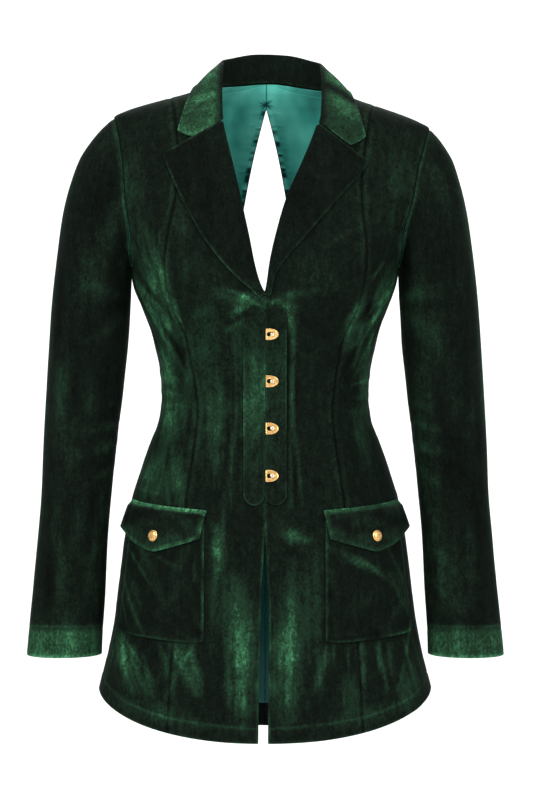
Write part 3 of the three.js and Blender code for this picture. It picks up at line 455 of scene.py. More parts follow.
class Seams:
    """The seams and edges of the body: angle and height of each row, on the +X side."""

    @staticmethod
    def centre_front(row: Array, side: Side) -> Grid:
        """Gives the front edge, the lapel's roll line and the side of the neck."""
        z = row_height(row, float(SHAPE.hem(0.0)), V_BOTTOM_Z, NECK_SIDE_Z)
        opening = np.where(z < -495, SLIT[side](z), 0)
        return SHAPE.angle(np.where(z <= V_BOTTOM_Z, opening + 0.01, NECK_EDGE[side](z)), z), z

    @staticmethod
    def front_princess(row: Array) -> Grid:
        """Gives the front princess seam."""
        start = SHAPE.hem(SHAPE.angle(FRONT_PRINCESS(SHAPE.hem_side), SHAPE.hem_side))
        z = row_height(row, float(start), (V_BOTTOM_Z + UNDERARM_Z) / 2, SHOULDER_PRINCESS_Z)
        angle = SHAPE.angle(FRONT_PRINCESS(z), z)
        return np.where(row >= LAST_ROW, math.pi / 2, angle), z

    @staticmethod
    def side(row: Array) -> Grid:
        """Gives the side seam and, above it, the front half of the armhole."""
        z = row_height(row, SHAPE.hem_side, UNDERARM_Z, SHOULDER_TIP_Z)
        return np.where(row > BODY_ROWS, SHAPE.angle(ARMHOLE(z), z), math.pi / 2), z

    @staticmethod
    def back_side(row: Array) -> Grid:
        """Gives the side seam and the back half of the armhole."""
        angle, z = Seams.side(row)
        return math.pi - angle, z

    @staticmethod
    def back_princess(row: Array) -> Grid:
        """Gives the back princess seam."""
        start = SHAPE.hem(SHAPE.angle(BACK_PRINCESS(SHAPE.hem_side), SHAPE.hem_side))
        z = row_height(row, float(start), UNDERARM_Z - 12, SHOULDER_PRINCESS_Z)
        angle = math.pi - SHAPE.angle(BACK_PRINCESS(z), z)
        return np.where(row >= LAST_ROW, math.pi / 2, angle), z

    @staticmethod
    def centre_back(row: Array, side: Side) -> Grid:
        """Gives the centre back seam, which stays upright, and the keyhole's edge."""
        z = row_height(row, float(SHAPE.hem(math.pi)), UNDERARM_Z - 25, NECK_BACK_Z)
        shift = side.sign * CENTRE_BACK_SHIFT * smooth_step(SHAPE.lean_from, SHAPE.lean_to, z)
        return math.pi - SHAPE.angle(KEYHOLE(z) + 0.01 - shift, z), z

    @staticmethod
    def neck_back(angle: Array) -> Array:
        """Gives the height of the neck's back edge at an angle."""
        return mix(NECK_SIDE_Z, NECK_BACK_Z, smooth_step(0, 1, angle / (math.pi / 2) - 1))

    @staticmethod
    def back_top(share: Array, side: Side, shoulder: float = 0.4) -> Grid:
        """Gives the centre back's top edge: along the shoulder, then round the neck."""
        end = float(Seams.centre_back(np.array(float(LAST_ROW)), side)[0])
        angle = mix(math.pi / 2, end, np.clip((share - shoulder) / (1 - shoulder), 0, 1))
        z_shoulder = mix(SHOULDER_PRINCESS_Z, NECK_SIDE_Z, np.clip(share / shoulder, 0, 1))
        return angle, np.where(share <= shoulder, z_shoulder, Seams.neck_back(angle))


# Cloth shells


@dataclass
class Mesh:
    """Points, faces, material slots and per-point painted sheen and shade values of one piece."""

    points: Array
    faces: list[tuple[int, ...]]
    slots: list[int]
    painted_light: Array


def grid_normals(points: Array, around: bool = False) -> Array:
    """Gives the normals of a grid of points from its own rows and columns."""
    if around:
        across = np.roll(points, -1, axis=1) - np.roll(points, 1, axis=1)
    else:
        across = np.gradient(points, axis=1)
    return unit(np.cross(across, np.gradient(points, axis=0)))


def draw_back(points: Array, gap: float, around: bool = False) -> Array:
    """Draws a grid's outer rows and columns back from its seams by a gap."""
    drawn = points.copy()
    drawn[0] += unit(points[1] - points[0]) * gap
    drawn[-1] += unit(points[-2] - points[-1]) * gap
    if not around:
        drawn[:, 0] += unit(points[:, 1] - points[:, 0]) * gap
        drawn[:, -1] += unit(points[:, -2] - points[:, -1]) * gap
    return drawn


def edge_distance(points: Array, around: bool = False, ends: bool = True) -> Array:
    """Gives each grid point's distance over the cloth to the nearest edge.

    Args:
        points: the grid of points.
        around: the columns join up, so only the rows have edges.
        ends: counts the first and the last row as edges too.

    Returns:
        The distances, in millimetres.
    """
    down = np.cumsum(np.linalg.norm(np.diff(points, axis=0, prepend=points[:1]), axis=-1), axis=0)
    distance = np.full(points.shape[:2], 1e6)
    if ends:
        distance = np.minimum(down, down[-1:] - down)
    if not around:
        over = np.cumsum(np.linalg.norm(np.diff(points, axis=1, prepend=points[:, :1]), axis=-1), axis=1)
        distance = np.minimum(distance, np.minimum(over, over[:, -1:] - over))
    return distance


@dataclass
class Shell:
    """A grid of points and normals made into a wall of cloth with rounded edges."""

    points: Array
    normals: Array
    thickness: float
    around: bool = False
    painted_light: Array | None = None
    inner_slot: int | Array = 0
    # The inner skin's share of the painted sheen and shade.
    inner_painted_light: float = 0.5
    rim_steps: int = 3

    def build(self) -> Mesh:
        """Makes the closed wall.

        Returns:
            The wall's points and faces: outer skin, inner skin and a rounded rim.
        """
        rows, columns = self.points.shape[:2]
        half = self.thickness / 2
        painted_light = self.painted_light if self.painted_light is not None else np.zeros((rows, columns))
        size = rows * columns
        outer = (self.points + self.normals * half).reshape(-1, 3)
        inner = (self.points - self.normals * half).reshape(-1, 3)
        index = np.arange(size).reshape(rows, columns)
        if self.around:
            index = np.concatenate([index, index[:, :1]], axis=1)
        a, b = index[:-1, :-1].ravel(), index[:-1, 1:].ravel()
        c, d = index[1:, 1:].ravel(), index[1:, :-1].ravel()
        skin = np.stack([a, b, c, d], axis=1)
        faces = [skin, skin[:, ::-1] + size]
        slots = [np.zeros(len(skin), int), np.broadcast_to(self.inner_slot, len(skin))]
        points, values = [outer, inner], [painted_light.ravel(), painted_light.ravel() * self.inner_painted_light]
        count = 2 * size
        for loop, out in self.edges(index):
            at = self.points.reshape(-1, 3)[loop]
            normal = self.normals.reshape(-1, 3)[loop]
            previous = loop
            closed = loop[0] == loop[-1]
            for step in range(1, self.rim_steps):
                turn = math.pi * step / self.rim_steps
                ring = at + normal * half * math.cos(turn) + out * half * 0.9 * math.sin(turn)
                ids = count + np.arange(len(loop))
                if closed:
                    ids[-1] = ids[0]
                    ring = ring[:-1]
                points.append(ring)
                values.append(painted_light.ravel()[loop][: len(ring)])
                count += len(ring)
                faces.append(np.stack([previous[:-1], ids[:-1], ids[1:], previous[1:]], axis=1))
                slots.append(np.zeros(len(loop) - 1, int))
                previous = ids
            last = loop + size
            faces.append(np.stack([previous[:-1], last[:-1], last[1:], previous[1:]], axis=1))
            slots.append(np.zeros(len(loop) - 1, int))
        return Mesh(*(np.concatenate(part) for part in (points, faces, slots, values)))

    def edges(self, index: Array) -> list[tuple[Array, Array]]:
        """Lists the boundary runs, each with the direction out of the cloth at every point."""
        flat = self.points.reshape(-1, 3)
        if self.around:
            bottom = (index[0], unit(flat[index[0]] - flat[index[1]]))
            top = (index[-1][::-1], unit(flat[index[-1][::-1]] - flat[index[-2][::-1]]))
            return [bottom, top]
        loop = np.concatenate([index[0], index[1:, -1], index[-1, -2::-1], index[-2::-1, 0]])
        inside = np.concatenate([index[1], index[1:, -2], index[-2, -2::-1], index[-2::-1, 1]])
        out = unit(flat[loop] - flat[inside])
        out = unit(np.roll(out[:-1], 1, axis=0) + out[:-1] + np.roll(out[:-1], -1, axis=0))
        return [(loop, np.concatenate([out, out[:1]]))]


@dataclass(frozen=True)
class FlatSize:
    """A cloth piece laid flat: width, length and area, in metres."""

    width: float
    length: float
    area: float

    @classmethod
    def of(cls, points: Array, around: bool = False) -> FlatSize:
        """Measures a grid: the longest row and column and the skin's area.

        Args:
            points: the grid's points, in millimetres.
            around: the columns join up.

        Returns:
            The size of the piece laid flat.
        """
        grid = np.concatenate([points, points[:, :1]], axis=1) if around else points
        width = np.linalg.norm(np.diff(grid, axis=1), axis=-1).sum(axis=1).max()
        length = np.linalg.norm(np.diff(grid, axis=0), axis=-1).sum(axis=0).max()
        one = np.cross(grid[1:, :-1] - grid[:-1, :-1], grid[:-1, 1:] - grid[:-1, :-1])
        two = np.cross(grid[:-1, 1:] - grid[1:, 1:], grid[1:, :-1] - grid[1:, 1:])
        area = (np.linalg.norm(one, axis=-1).sum() + np.linalg.norm(two, axis=-1).sum()) / 2
        area = min(area, width * length)
        return cls(round(width * MM, 4), round(length * MM, 4), round(area * MM * MM, 5))


class Piece:
    """Turns meshes into Blender objects and ties them to the frame."""

    @staticmethod
    def add(name: str, mesh: Mesh, materials: Sequence[bpy.types.Material]) -> bpy.types.Object:
        """Adds a mesh to the scene, smooth shaded, in metres.

        Args:
            name: the object's name.
            mesh: its points and faces, in millimetres.
            materials: one for each slot.

        Returns:
            The new object.
        """
        data = bpy.data.meshes.new(name)
        data.from_pydata((mesh.points * MM).tolist(), [], [tuple(int(i) for i in f) for f in mesh.faces])
        for material in materials:
            data.materials.append(material)
        data.polygons.foreach_set("material_index", np.asarray(mesh.slots, dtype=np.int32))
        data.polygons.foreach_set("use_smooth", np.ones(len(data.polygons), dtype=bool))
        # Stores each point's painted sheen and shade for the materials to read.
        painted_light = data.attributes.new("painted_light", "FLOAT", "POINT")
        painted_light.data.foreach_set("value", np.asarray(mesh.painted_light, dtype=np.float32))
        data.update()
        piece = bpy.data.objects.new(name, data)
        bpy.context.scene.collection.objects.link(piece)
        return piece

    @staticmethod
    def cloth(piece: bpy.types.Object, size: FlatSize, node: str, slot: str, held: str = "stretched") -> None:
        """Ties a cloth piece to the frame and hides the CAD node that it takes the place of.

        Args:
            piece: the cloth's object.
            size: the piece laid flat; not used.
            node: the CAD node that it takes the place of.
            slot: the material slot; not used.
            held: how the cloth is held; not used.
        """
        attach(piece, "root")
        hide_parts(node)

    @staticmethod
    def metal(piece: bpy.types.Object, node: str) -> None:
        """Ties a brass piece to the body and puts it in the place of its CAD node."""
        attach(piece, "root")
        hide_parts(node)


# Painted sheen and shade: where the pile catches the light


class Patch(NamedTuple):
    """A soft patch of painted sheen on the pile: its middle, its reach across and down, and its slant in
    degrees.
    """

    x: float
    z: float
    reach_x: float
    reach_z: float
    strength: float
    slant: float = 0.0
    front: bool = True


PATCHES = (
    # Underarm to waist, on the front
    Patch(-124, -222, 17, 60, 0.46, 14), Patch(-104, -262, 9, 34, 0.22, 22),
    Patch(-112, -330, 12, 50, 0.46, 2), Patch(-110, -388, 13, 44, 0.38, -14),
    Patch(134, -236, 10, 40, 0.36, -22), Patch(104, -268, 8, 34, 0.34, -12),
    Patch(116, -335, 8, 44, 0.30, 0), Patch(112, -400, 9, 40, 0.20, 12),
    # Beside and above the busk
    Patch(-26, -246, 12, 9, 0.26, 35), Patch(-50, -233, 12, 7, 0.12, -20),
    Patch(30, -250, 6, 18, 0.16, 0), Patch(-70, -300, 16, 50, 0.14, 0),
    Patch(-58, -385, 14, 60, 0.20, 0), Patch(-88, -330, 5, 60, 0.16, -4),
    # Hips and the skirt's front
    Patch(-132, -446, 28, 26, 0.38, -20), Patch(-98, -450, 9, 46, 0.28, 6),
    Patch(-52, -525, 9, 28, 0.34, 0), Patch(32, -510, 18, 10, 0.28, -25),
    Patch(-26, -648, 19, 72, 0.50, 0), Patch(-40, -590, 9, 60, 0.20, 0),
    Patch(24, -648, 19, 70, 0.42, 0), Patch(46, -590, 10, 60, 0.14, 0),
    Patch(-92, -652, 12, 34, 0.34, 20), Patch(-160, -650, 14, 36, 0.32, 12),
    Patch(120, -712, 50, 12, 0.14, 12), Patch(-120, -712, 50, 12, 0.20, -12),
    Patch(96, -690, 12, 24, 0.20, 0), Patch(162, -690, 12, 26, 0.18, -10),
    # The shoulders and the chest
    Patch(-62, -330, 44, 120, 0.07, 0),
    Patch(-150, -120, 16, 60, 0.14, 10), Patch(150, -110, 20, 60, 0.10, -10),
    Patch(-92, -160, 10, 70, 0.10, 0), Patch(60, -215, 30, 30, 0.08, -20),
    # The back
    Patch(-120, -225, 15, 60, 0.46, 12, False), Patch(122, -232, 13, 56, 0.42, -14, False),
    Patch(-104, -340, 9, 52, 0.34, 0, False), Patch(104, -345, 9, 50, 0.32, 0, False),
    Patch(-60, -420, 12, 60, 0.24, 0, False), Patch(56, -430, 13, 64, 0.24, 0, False),
    Patch(-96, -560, 16, 80, 0.30, 6, False), Patch(88, -575, 17, 74, 0.28, -6, False),
    Patch(-20, -610, 16, 86, 0.34, 0, False), Patch(24, -640, 18, 70, 0.32, 0, False),
    Patch(-150, -640, 15, 50, 0.26, 12, False), Patch(150, -650, 15, 46, 0.26, -12, False),
    Patch(-110, -80, 34, 24, 0.16, 0, False), Patch(110, -86, 34, 24, 0.16, 0, False),
)


class Pull(NamedTuple):
    """A fine painted highlight line on the front, where leaning pile catches the light: its two ends, its
    width and its strength.
    """

    x0: float
    z0: float
    x1: float
    z1: float
    width: float
    strength: float


PULLS = (
    # From the left underarm down to the waist
    Pull(-119, -160, -121, -200, 1.8, 0.30), Pull(-121, -196, -112, -240, 3.2, 0.42),
    Pull(-113, -236, -96, -266, 3.0, 0.34), Pull(-127, -184, -117, -210, 1.8, 0.34),
    Pull(-131, -210, -120, -247, 2.6, 0.40), Pull(-121, -244, -107, -279, 2.4, 0.34),
    Pull(-131, -238, -112, -271, 2.0, 0.34), Pull(-126, -262, -108, -296, 2.0, 0.26),
    Pull(-123, -206, -115, -232, -1.4, 0.20), Pull(-126, -232, -113, -262, -1.4, 0.24),
    Pull(-104, -238, -93, -272, 1.4, 0.24), Pull(-122, -300, -104, -318, 1.8, 0.24),
    # From the right underarm down to the waist
    Pull(107, -244, 96, -262, 3.0, 0.34), Pull(96, -258, 94, -292, 2.6, 0.30),
    Pull(131, -252, 113, -271, 2.4, 0.40), Pull(114, -268, 104, -292, 2.4, 0.34),
    Pull(136, -196, 120, -219, 1.8, 0.28), Pull(141, -217, 122, -243, 2.2, 0.34),
    Pull(128, -246, 118, -262, -1.4, 0.20), Pull(102, -158, 70, -182, 3.4, 0.10),
    Pull(112, -282, 100, -318, 2.0, 0.30), Pull(124, -276, 116, -306, 1.8, 0.30),
    Pull(92, -262, 90, -300, 1.4, 0.20), Pull(122, -312, 104, -322, 1.6, 0.22),
    # Round the top of the busk
    Pull(-42, -230, -26, -236, 2.4, 0.40), Pull(-27, -235, -10, -245, 3.4, 0.60),
    Pull(-32, -254, -24, -237, 3.6, 0.44), Pull(-44, -278, -26, -263, 1.8, 0.50),
    Pull(-20, -232, -5, -243, 1.0, 0.46), Pull(-15, -231, -3, -240, 0.9, 0.40),
    Pull(-17, -235, -4, -244, -0.9, 0.34), Pull(-12, -245, 0, -250, 1.8, 0.50),
    Pull(2, -243, 19, -241, 2.8, 0.46), Pull(3, -252, 9, -243, 1.6, 0.40),
    Pull(18, -242, 26, -256, 2.0, 0.46), Pull(26, -252, 30, -276, 2.8, 0.44),
    Pull(27, -230, 27, -256, 1.4, 0.40), Pull(31, -236, 31, -300, 2.4, 0.16),
    Pull(-40, -256, -33, -262, 2.0, 0.24), Pull(-60, -250, -84, -262, 5.0, 0.12),
    # The busk's channels
    Pull(29, -262, 29.5, -476, 3.0, 0.20), Pull(-38.5, -262, -38.5, -480, 1.4, 0.16),
    Pull(-26.5, -268, -26.5, -470, 1.8, 0.16), Pull(35.5, -262, 35, -480, -1.6, 0.12),
    Pull(-52, -330, -54, -440, 3.4, 0.12), Pull(-46, -440, -48, -520, 2.4, 0.16),
    # Across the waist and over the hips
    Pull(-118, -322, -98, -332, 1.8, 0.22), Pull(-116, -345, -94, -350, 1.6, 0.24),
    Pull(-118, -362, -92, -360, 1.8, 0.22), Pull(-116, -384, -96, -374, 1.6, 0.24),
    Pull(118, -330, 100, -338, 1.6, 0.20), Pull(118, -352, 98, -352, 1.4, 0.20),
    Pull(116, -372, 100, -366, 1.6, 0.18), Pull(-150, -455, -118, -464, 2.6, 0.26),
    Pull(-152, -442, -130, -446, 1.8, 0.20), Pull(-112, -448, -108, -484, 2.0, 0.22),
    # The skirt's front
    Pull(-54, -500, -51, -546, 3.0, 0.12), Pull(-34, -560, -30, -700, 4.0, 0.08),
    Pull(-22, -600, -18, -706, 3.0, 0.10), Pull(-44, -590, -42, -690, 2.4, 0.10),
    Pull(30, -590, 27, -700, 4.0, 0.08), Pull(46, -540, 50, -660, 2.4, 0.14),
    Pull(18, -610, 14, -690, 3.0, 0.08), Pull(-98, -648, -76, -690, 3.0, 0.20),
    Pull(-170, -640, -150, -690, 4.0, 0.22), Pull(-140, -646, -126, -680, 2.4, 0.22),
    Pull(60, -644, 64, -690, 2.4, 0.14), Pull(24, -508, 52, -516, 3.0, 0.24),
    # The pockets and the cloth round them
    Pull(-160, -520, -132, -562, 1.5, 0.30), Pull(-152, -520, -92, -548, 1.6, 0.16),
    Pull(-163, -556, -151, -594, 1.6, 0.30), Pull(-152, -590, -139, -622, 1.6, 0.26),
    Pull(-166, -572, -158, -612, 1.3, 0.24), Pull(-78, -520, -80, -560, 1.5, 0.14),
    Pull(-161, -628, -137, -662, 1.8, 0.34), Pull(-138, -658, -126, -696, 1.8, 0.28),
    Pull(-166, -622, -159, -652, 1.6, 0.32), Pull(-160, -648, -142, -690, 1.8, 0.28),
    Pull(-78, -628, -100, -668, 2.2, 0.30), Pull(-101, -664, -112, -696, 2.4, 0.22),
    Pull(100, -530, 146, -566, 1.5, 0.26), Pull(145, -562, 163, -600, 1.5, 0.26),
    Pull(140, -524, 158, -562, 1.4, 0.26), Pull(157, -558, 164, -604, 1.4, 0.24),
    Pull(92, -534, 118, -548, 1.5, 0.20), Pull(74, -540, 84, -580, 1.6, 0.12),
    Pull(69, -634, 66, -666, 1.4, 0.26), Pull(78, -634, 78, -656, 1.3, 0.26),
    Pull(94, -634, 95, -660, 1.4, 0.28), Pull(109, -633, 107, -654, 1.3, 0.26),
    Pull(129, -632, 130, -662, 1.5, 0.28), Pull(146, -630, 144, -652, 1.4, 0.24),
    Pull(168, -606, 160, -652, 1.6, 0.30), Pull(161, -648, 151, -688, 1.8, 0.22),
)


def pull_light(points: Array) -> Array:
    """Adds up the fine painted highlight lines at each point of the front. A negative width marks a painted
    shade line.
    """
    x, z = points[..., 0], points[..., 2]
    front = smooth_step(15, -15, points[..., 1])
    total = np.zeros(x.shape)
    for row in PULLS:
        line = ridge(x, z, (row.x0, row.z0), (row.x1, row.z1), abs(row.width))
        total += math.copysign(row.strength, row.width) * line
    return total * front * (0.8 + 0.35 * ripple(x / 5, z / 14, 12))


def leaning_light(points: Array) -> Array:
    """Adds the painted sheen of the patches and the fine lines, levelled off where several of them meet."""
    return 0.5 * np.tanh((0.85 * patch_light(points) + pull_light(points)) / 0.5)


def patch_light(points: Array) -> Array:
    """Adds up the patches of painted sheen at each point."""
    x, y, z = points[..., 0], points[..., 1], points[..., 2]
    total = np.zeros(x.shape)
    for row in PATCHES:
        slant = math.radians(row.slant)
        dx, dz = x - row.x, z - row.z
        across = (dx * math.cos(slant) + dz * math.sin(slant)) / row.reach_x
        down = (dz * math.cos(slant) - dx * math.sin(slant)) / row.reach_z
        facing = smooth_step(15, -15, y) if row.front else smooth_step(-15, 15, y)
        streaks = 0.66 + 0.5 * ripple(across * row.reach_x / 3.4, down * row.reach_z / 34, 7)
        streaks += 0.3 * ripple(across * row.reach_x / 8, down * row.reach_z / 16, 9)
        total += row.strength * np.exp(-np.square(across * across + down * down)) * facing * streaks
    return total


def edge_light(points: Array, edge: Array, rim: float, seed: int, width: float = 1.4) -> Array:
    """Gives the uneven painted highlight where the pile turns over an edge.

    Args:
        points: the cloth's points.
        edge: distance of each point to the edge.
        rim: how bright the line is at its strongest.
        seed: picks where it fades.
        width: width of the line, in millimetres.

    Returns:
        What the line adds at each point.
    """
    x, z = points[..., 0], points[..., 2]
    fade = 0.6 + 0.5 * ripple((x + z) / 17, (x - z) / 23, seed)
    return rim * fade * np.exp(-np.square(edge / width))


def seam_light(points: Array, seam: Array, seed: int) -> Array:
    """Gives a dark line along a seam and a painted highlight beside it, where its turnings lift the pile."""
    lifted = 0.55 + 0.6 * ripple(points[..., 2] / 34, seam / 20, seed)
    return 0.12 * lifted * np.exp(-np.square((seam - 4.5) / 3.0)) - 0.12 * np.exp(-np.square(seam / 1.2))


# The sub-assemblies


@dataclass(frozen=True)
class SeamLook:
    """How the cloth lies beside a seam, and how the hem is turned up."""

    dip: float = 0.55
    dip_width: float = 2.2
    pucker: float = 0.28
    pucker_step: float = 8.0
    pucker_width: float = 9.0
    hem: float = 17.0
    hem_groove: float = 0.5

    def relief(self, points: Array, edge: Array, seed: int) -> Array:
        """Gives the dip and the puckers along a seam at each point."""
        z = points[..., 2]
        waves = ripple(z / self.pucker_step, edge / 14, seed)
        dip = -self.dip * np.exp(-np.square(edge / self.dip_width))
        return dip + self.pucker * waves * np.exp(-np.square(edge / self.pucker_width))

    def hem_relief(self, up: Array) -> Array:
        """Gives the stitched groove above a hem and the fuller cloth below it."""
        groove = np.exp(-np.square((up - self.hem) / 1.3))
        return 0.22 * smooth_step(self.hem + 2, self.hem - 2, up) - self.hem_groove * groove


def rows_up(steps: int) -> Array:
    """Gives the fine rows of a body panel, from the hem to the shoulder, so many to a row of the solid."""
    lower = np.linspace(0, BODY_ROWS, steps * BODY_ROWS + 1)
    return np.concatenate([lower, np.linspace(BODY_ROWS, LAST_ROW, (steps - 1) * YOKE_ROWS + 1)[1:]])


@dataclass
class BodyPanels:
    """The eight velvet panels of the body, between the princess seams and the side seams."""

    front_columns: tuple[int, int] = (46, 54)
    back_columns: tuple[int, int] = (28, 34)
    front_steps: int = 10
    back_steps: int = 6
    look: SeamLook = field(default_factory=SeamLook)

    def grid(self, side: Side, rows: Array, start: Grid, end: Grid, columns: int, top: bool = False) -> Grid:
        """Lays a panel's grid between two seams.

        Args:
            side: the side of the body.
            rows: the rows of the solid that it follows, and those between them.
            start: angles and heights of the seam at the first column.
            end: angles and heights of the seam at the last column.
            columns: number of spans across.
            top: the last row runs along the shoulder and round the back of the neck.

        Returns:
            The points and normals.
        """
        rows = rows[:, None]
        share = np.linspace(0, 1, columns + 1)[None]
        angle = mix(start[0][:, None], end[0][:, None], share)
        z = mix(start[1][:, None], end[1][:, None], share)
        z = z + (SHAPE.hem(angle) - z[:1]) * np.clip(1 - rows, 0, 1)
        if top:
            edge_angle, edge_z = Seams.back_top(share, side)
            late = np.clip(rows - LAST_ROW + 1, 0, 1)
            angle = angle + (edge_angle - angle[-1:]) * late
            z = z + (edge_z - z[-1:]) * late
        points = SHAPE.point(side.sign * angle, z)
        return points, SHAPE.spot(side.sign * angle, z, fine=False)[1]

    def panel(
        self, name: str, side: Side, grid: Grid, finish: Finishes, seed: int, free: int | None = None
    ) -> None:
        """Builds one panel over its CAD node.

        Args:
            name: the panel's name without its side.
            side: the side of the body.
            grid: its points and normals.
            finish: the materials.
            seed: picks its own puckers.
            free: the column that is an edge and not a seam, if one is.
        """
        points, normals = draw_back(grid[0], SEAM_GAP / 3), grid[1]
        size = FlatSize.of(points)
        seam = edge_distance(points, ends=False)
        up = np.cumsum(np.linalg.norm(np.diff(points, axis=0, prepend=points[:1]), axis=-1), axis=0)
        soft = 0.25 * ripple(points[..., 0] / 26, points[..., 2] / 34, seed + 40)
        relief = self.look.relief(points, seam, seed) + self.look.hem_relief(up) + soft
        # The per-point value holds painted sheen and shade: the patches and the fine lines, painted
        # highlights along the hem and the free front edge, a dark line at each seam with a painted highlight
        # beside it, painted highlights on crease crests and painted shade in their troughs, and a painted
        # highlight along the hem's stitching.
        painted_light = 0.11 + leaning_light(points) + edge_light(points, up, 0.22, seed)
        if free is None:
            painted_light += seam_light(points, seam, seed)
        else:
            away = np.linalg.norm(points - points[:, free:free + 1 or None], axis=-1)
            seam = np.where(away < FREE_EDGE, FREE_EDGE, seam)
            painted_light += edge_light(points, away, 0.32, seed) + seam_light(points, seam, seed)
        creases = SHAPE.folds(self.angles(points), points[..., 2], CREASES)
        painted_light += 0.15 * np.clip(creases, -0.8, 1.5) + 0.17 * np.exp(-np.square((up - self.look.hem) / 1.6))
        painted_light += 0.05 * soft
        relief = relief + 0.7 * pull_light(points)
        lined = (up[:-1, :-1] > self.look.hem + FACING).astype(int).ravel()
        shell = Shell(points + normals * relief[..., None], normals, CLOTH, painted_light=painted_light, inner_slot=lined)
        piece = Piece.add(f"velvet_{name}_{side.value}", shell.build(), [finish.velvet, finish.satin])
        Piece.cloth(piece, size, f"{name}_{side.value}", "velvet")

    @staticmethod
    def angles(points: Array) -> Array:
        """Gives the angle round the body of points on it."""
        x = np.abs(points[..., 0]) / SHAPE.half(points[..., 2])
        front = np.arcsin(np.clip(x, 0, 1) ** (SHAPE.roundness / 2))
        return np.sign(points[..., 0]) * np.where(points[..., 1] < 0, front, math.pi - front)

    def build(self, side: Side, finish: Finishes) -> None:
        """Builds the four panels of one side."""
        step = 10 if side is Side.LEFT else 20
        rows = rows_up(self.front_steps)
        princess = Seams.front_princess(rows)
        centre, wide = self.front_columns
        front = self.grid(side, rows, Seams.centre_front(rows, side), princess, centre)
        self.panel("front_centre", side, front, finish, step, free=0)
        front_side = self.grid(side, rows, princess, Seams.side(rows), wide)
        self.panel("front_side", side, front_side, finish, step + 1)
        rows = rows_up(self.back_steps)
        back_princess = Seams.back_princess(rows)
        centre, wide = self.back_columns
        back_side = self.grid(side, rows, Seams.back_side(rows), back_princess, wide)
        self.panel("back_side", side, back_side, finish, step + 2)
        back = self.grid(side, rows, back_princess, Seams.centre_back(rows, side), centre, top=True)
        self.panel("back_centre", side, back, finish, step + 3)
        LOG.info("laid the four panels of the %s", side.value)


class Ring(NamedTuple):
    """A ring of the sleeve: heights of its outer and its inner line, and half its depth."""

    outer_z: float
    inner_z: float
    depth: float


class SleeveFold(NamedTuple):
    """A crease of the sleeve: turn in degrees from the outer line, and height of the arm's line."""

    turn0: float
    z0: float
    turn1: float
    z1: float
    crest: float
    width: float


SLEEVE_RINGS = (
    Ring(-33, -200, 57), Ring(-46, -204, 58), Ring(-66, -210, 59), Ring(-92, -218, 60),
    Ring(-124, -229, 59), Ring(-162, -245, 57), Ring(-206, -266, 55), Ring(-254, -294, 53),
    Ring(-304, -328, 51), Ring(-354, -366, 49), Ring(-405, -409, 46), Ring(-455, -456, 44),
    Ring(-506, -506, 42), Ring(-560, -560, 40.5), Ring(-616, -616, 39), Ring(-621, -621, 39.4),
    Ring(-648, -647, 38.6),
)
SLEEVE_OUTER = Curve([
    (-33, 183), (-46, 195.5), (-52, 200.6), (-64, 209.3), (-76, 216.3), (-99, 224.5),
    (-122, 230.9), (-145, 235.5), (-180, 240.2), (-238, 246.6), (-285, 250), (-378, 255.3),
    (-471, 259.3), (-564, 267.5), (-646, 275), (-655, 275.6),
])
SLEEVE_INNER = Curve([
    (-200, 155.2), (-215, 156), (-238, 157), (-285, 159.5), (-320, 162.8), (-355, 166.5),
    (-390, 171.5), (-436, 176.2), (-517, 183), (-576, 185.5), (-634, 189), (-655, 189.5),
])
SLEEVE_SWING = Curve([(-655, -24), (-450, -8), (-300, 0), (-120, 2), (-33, 0)])
SLEEVE_FOLDS = (
    SleeveFold(176, -372, 104, -390, 1.5, 5.5), SleeveFold(182, -398, 92, -418, 1.8, 6.5),
    SleeveFold(178, -424, 110, -452, 1.3, 5.5), SleeveFold(172, -350, 120, -358, 1.0, 4.5),
    SleeveFold(188, -386, 246, -398, 1.5, 6.0), SleeveFold(186, -412, 262, -436, 1.6, 6.0),
    SleeveFold(192, -362, 238, -368, 1.1, 5.0), SleeveFold(168, -186, 82, -232, 1.5, 8.0),
    SleeveFold(164, -212, 92, -292, 1.4, 8.0), SleeveFold(196, -190, 274, -240, 1.5, 8.0),
    SleeveFold(200, -216, 262, -300, 1.3, 8.0), SleeveFold(64, -470, 84, -606, 1.3, 8.0),
    SleeveFold(132, -478, 118, -604, 1.1, 7.0), SleeveFold(300, -460, 280, -600, 1.3, 8.0),
    SleeveFold(232, -486, 246, -600, 1.0, 7.0), SleeveFold(24, -150, 62, -250, 1.1, 9.0),
    SleeveFold(336, -150, 300, -250, 1.1, 9.0), SleeveFold(12, -165, 128, -176, -0.5, 2.2),
    SleeveFold(40, -300, 66, -420, 1.0, 9.0), SleeveFold(318, -300, 292, -430, 1.0, 9.0),
    SleeveFold(150, -520, 98, -548, 0.9, 5.0), SleeveFold(156, -560, 104, -584, 0.8, 5.0),
)


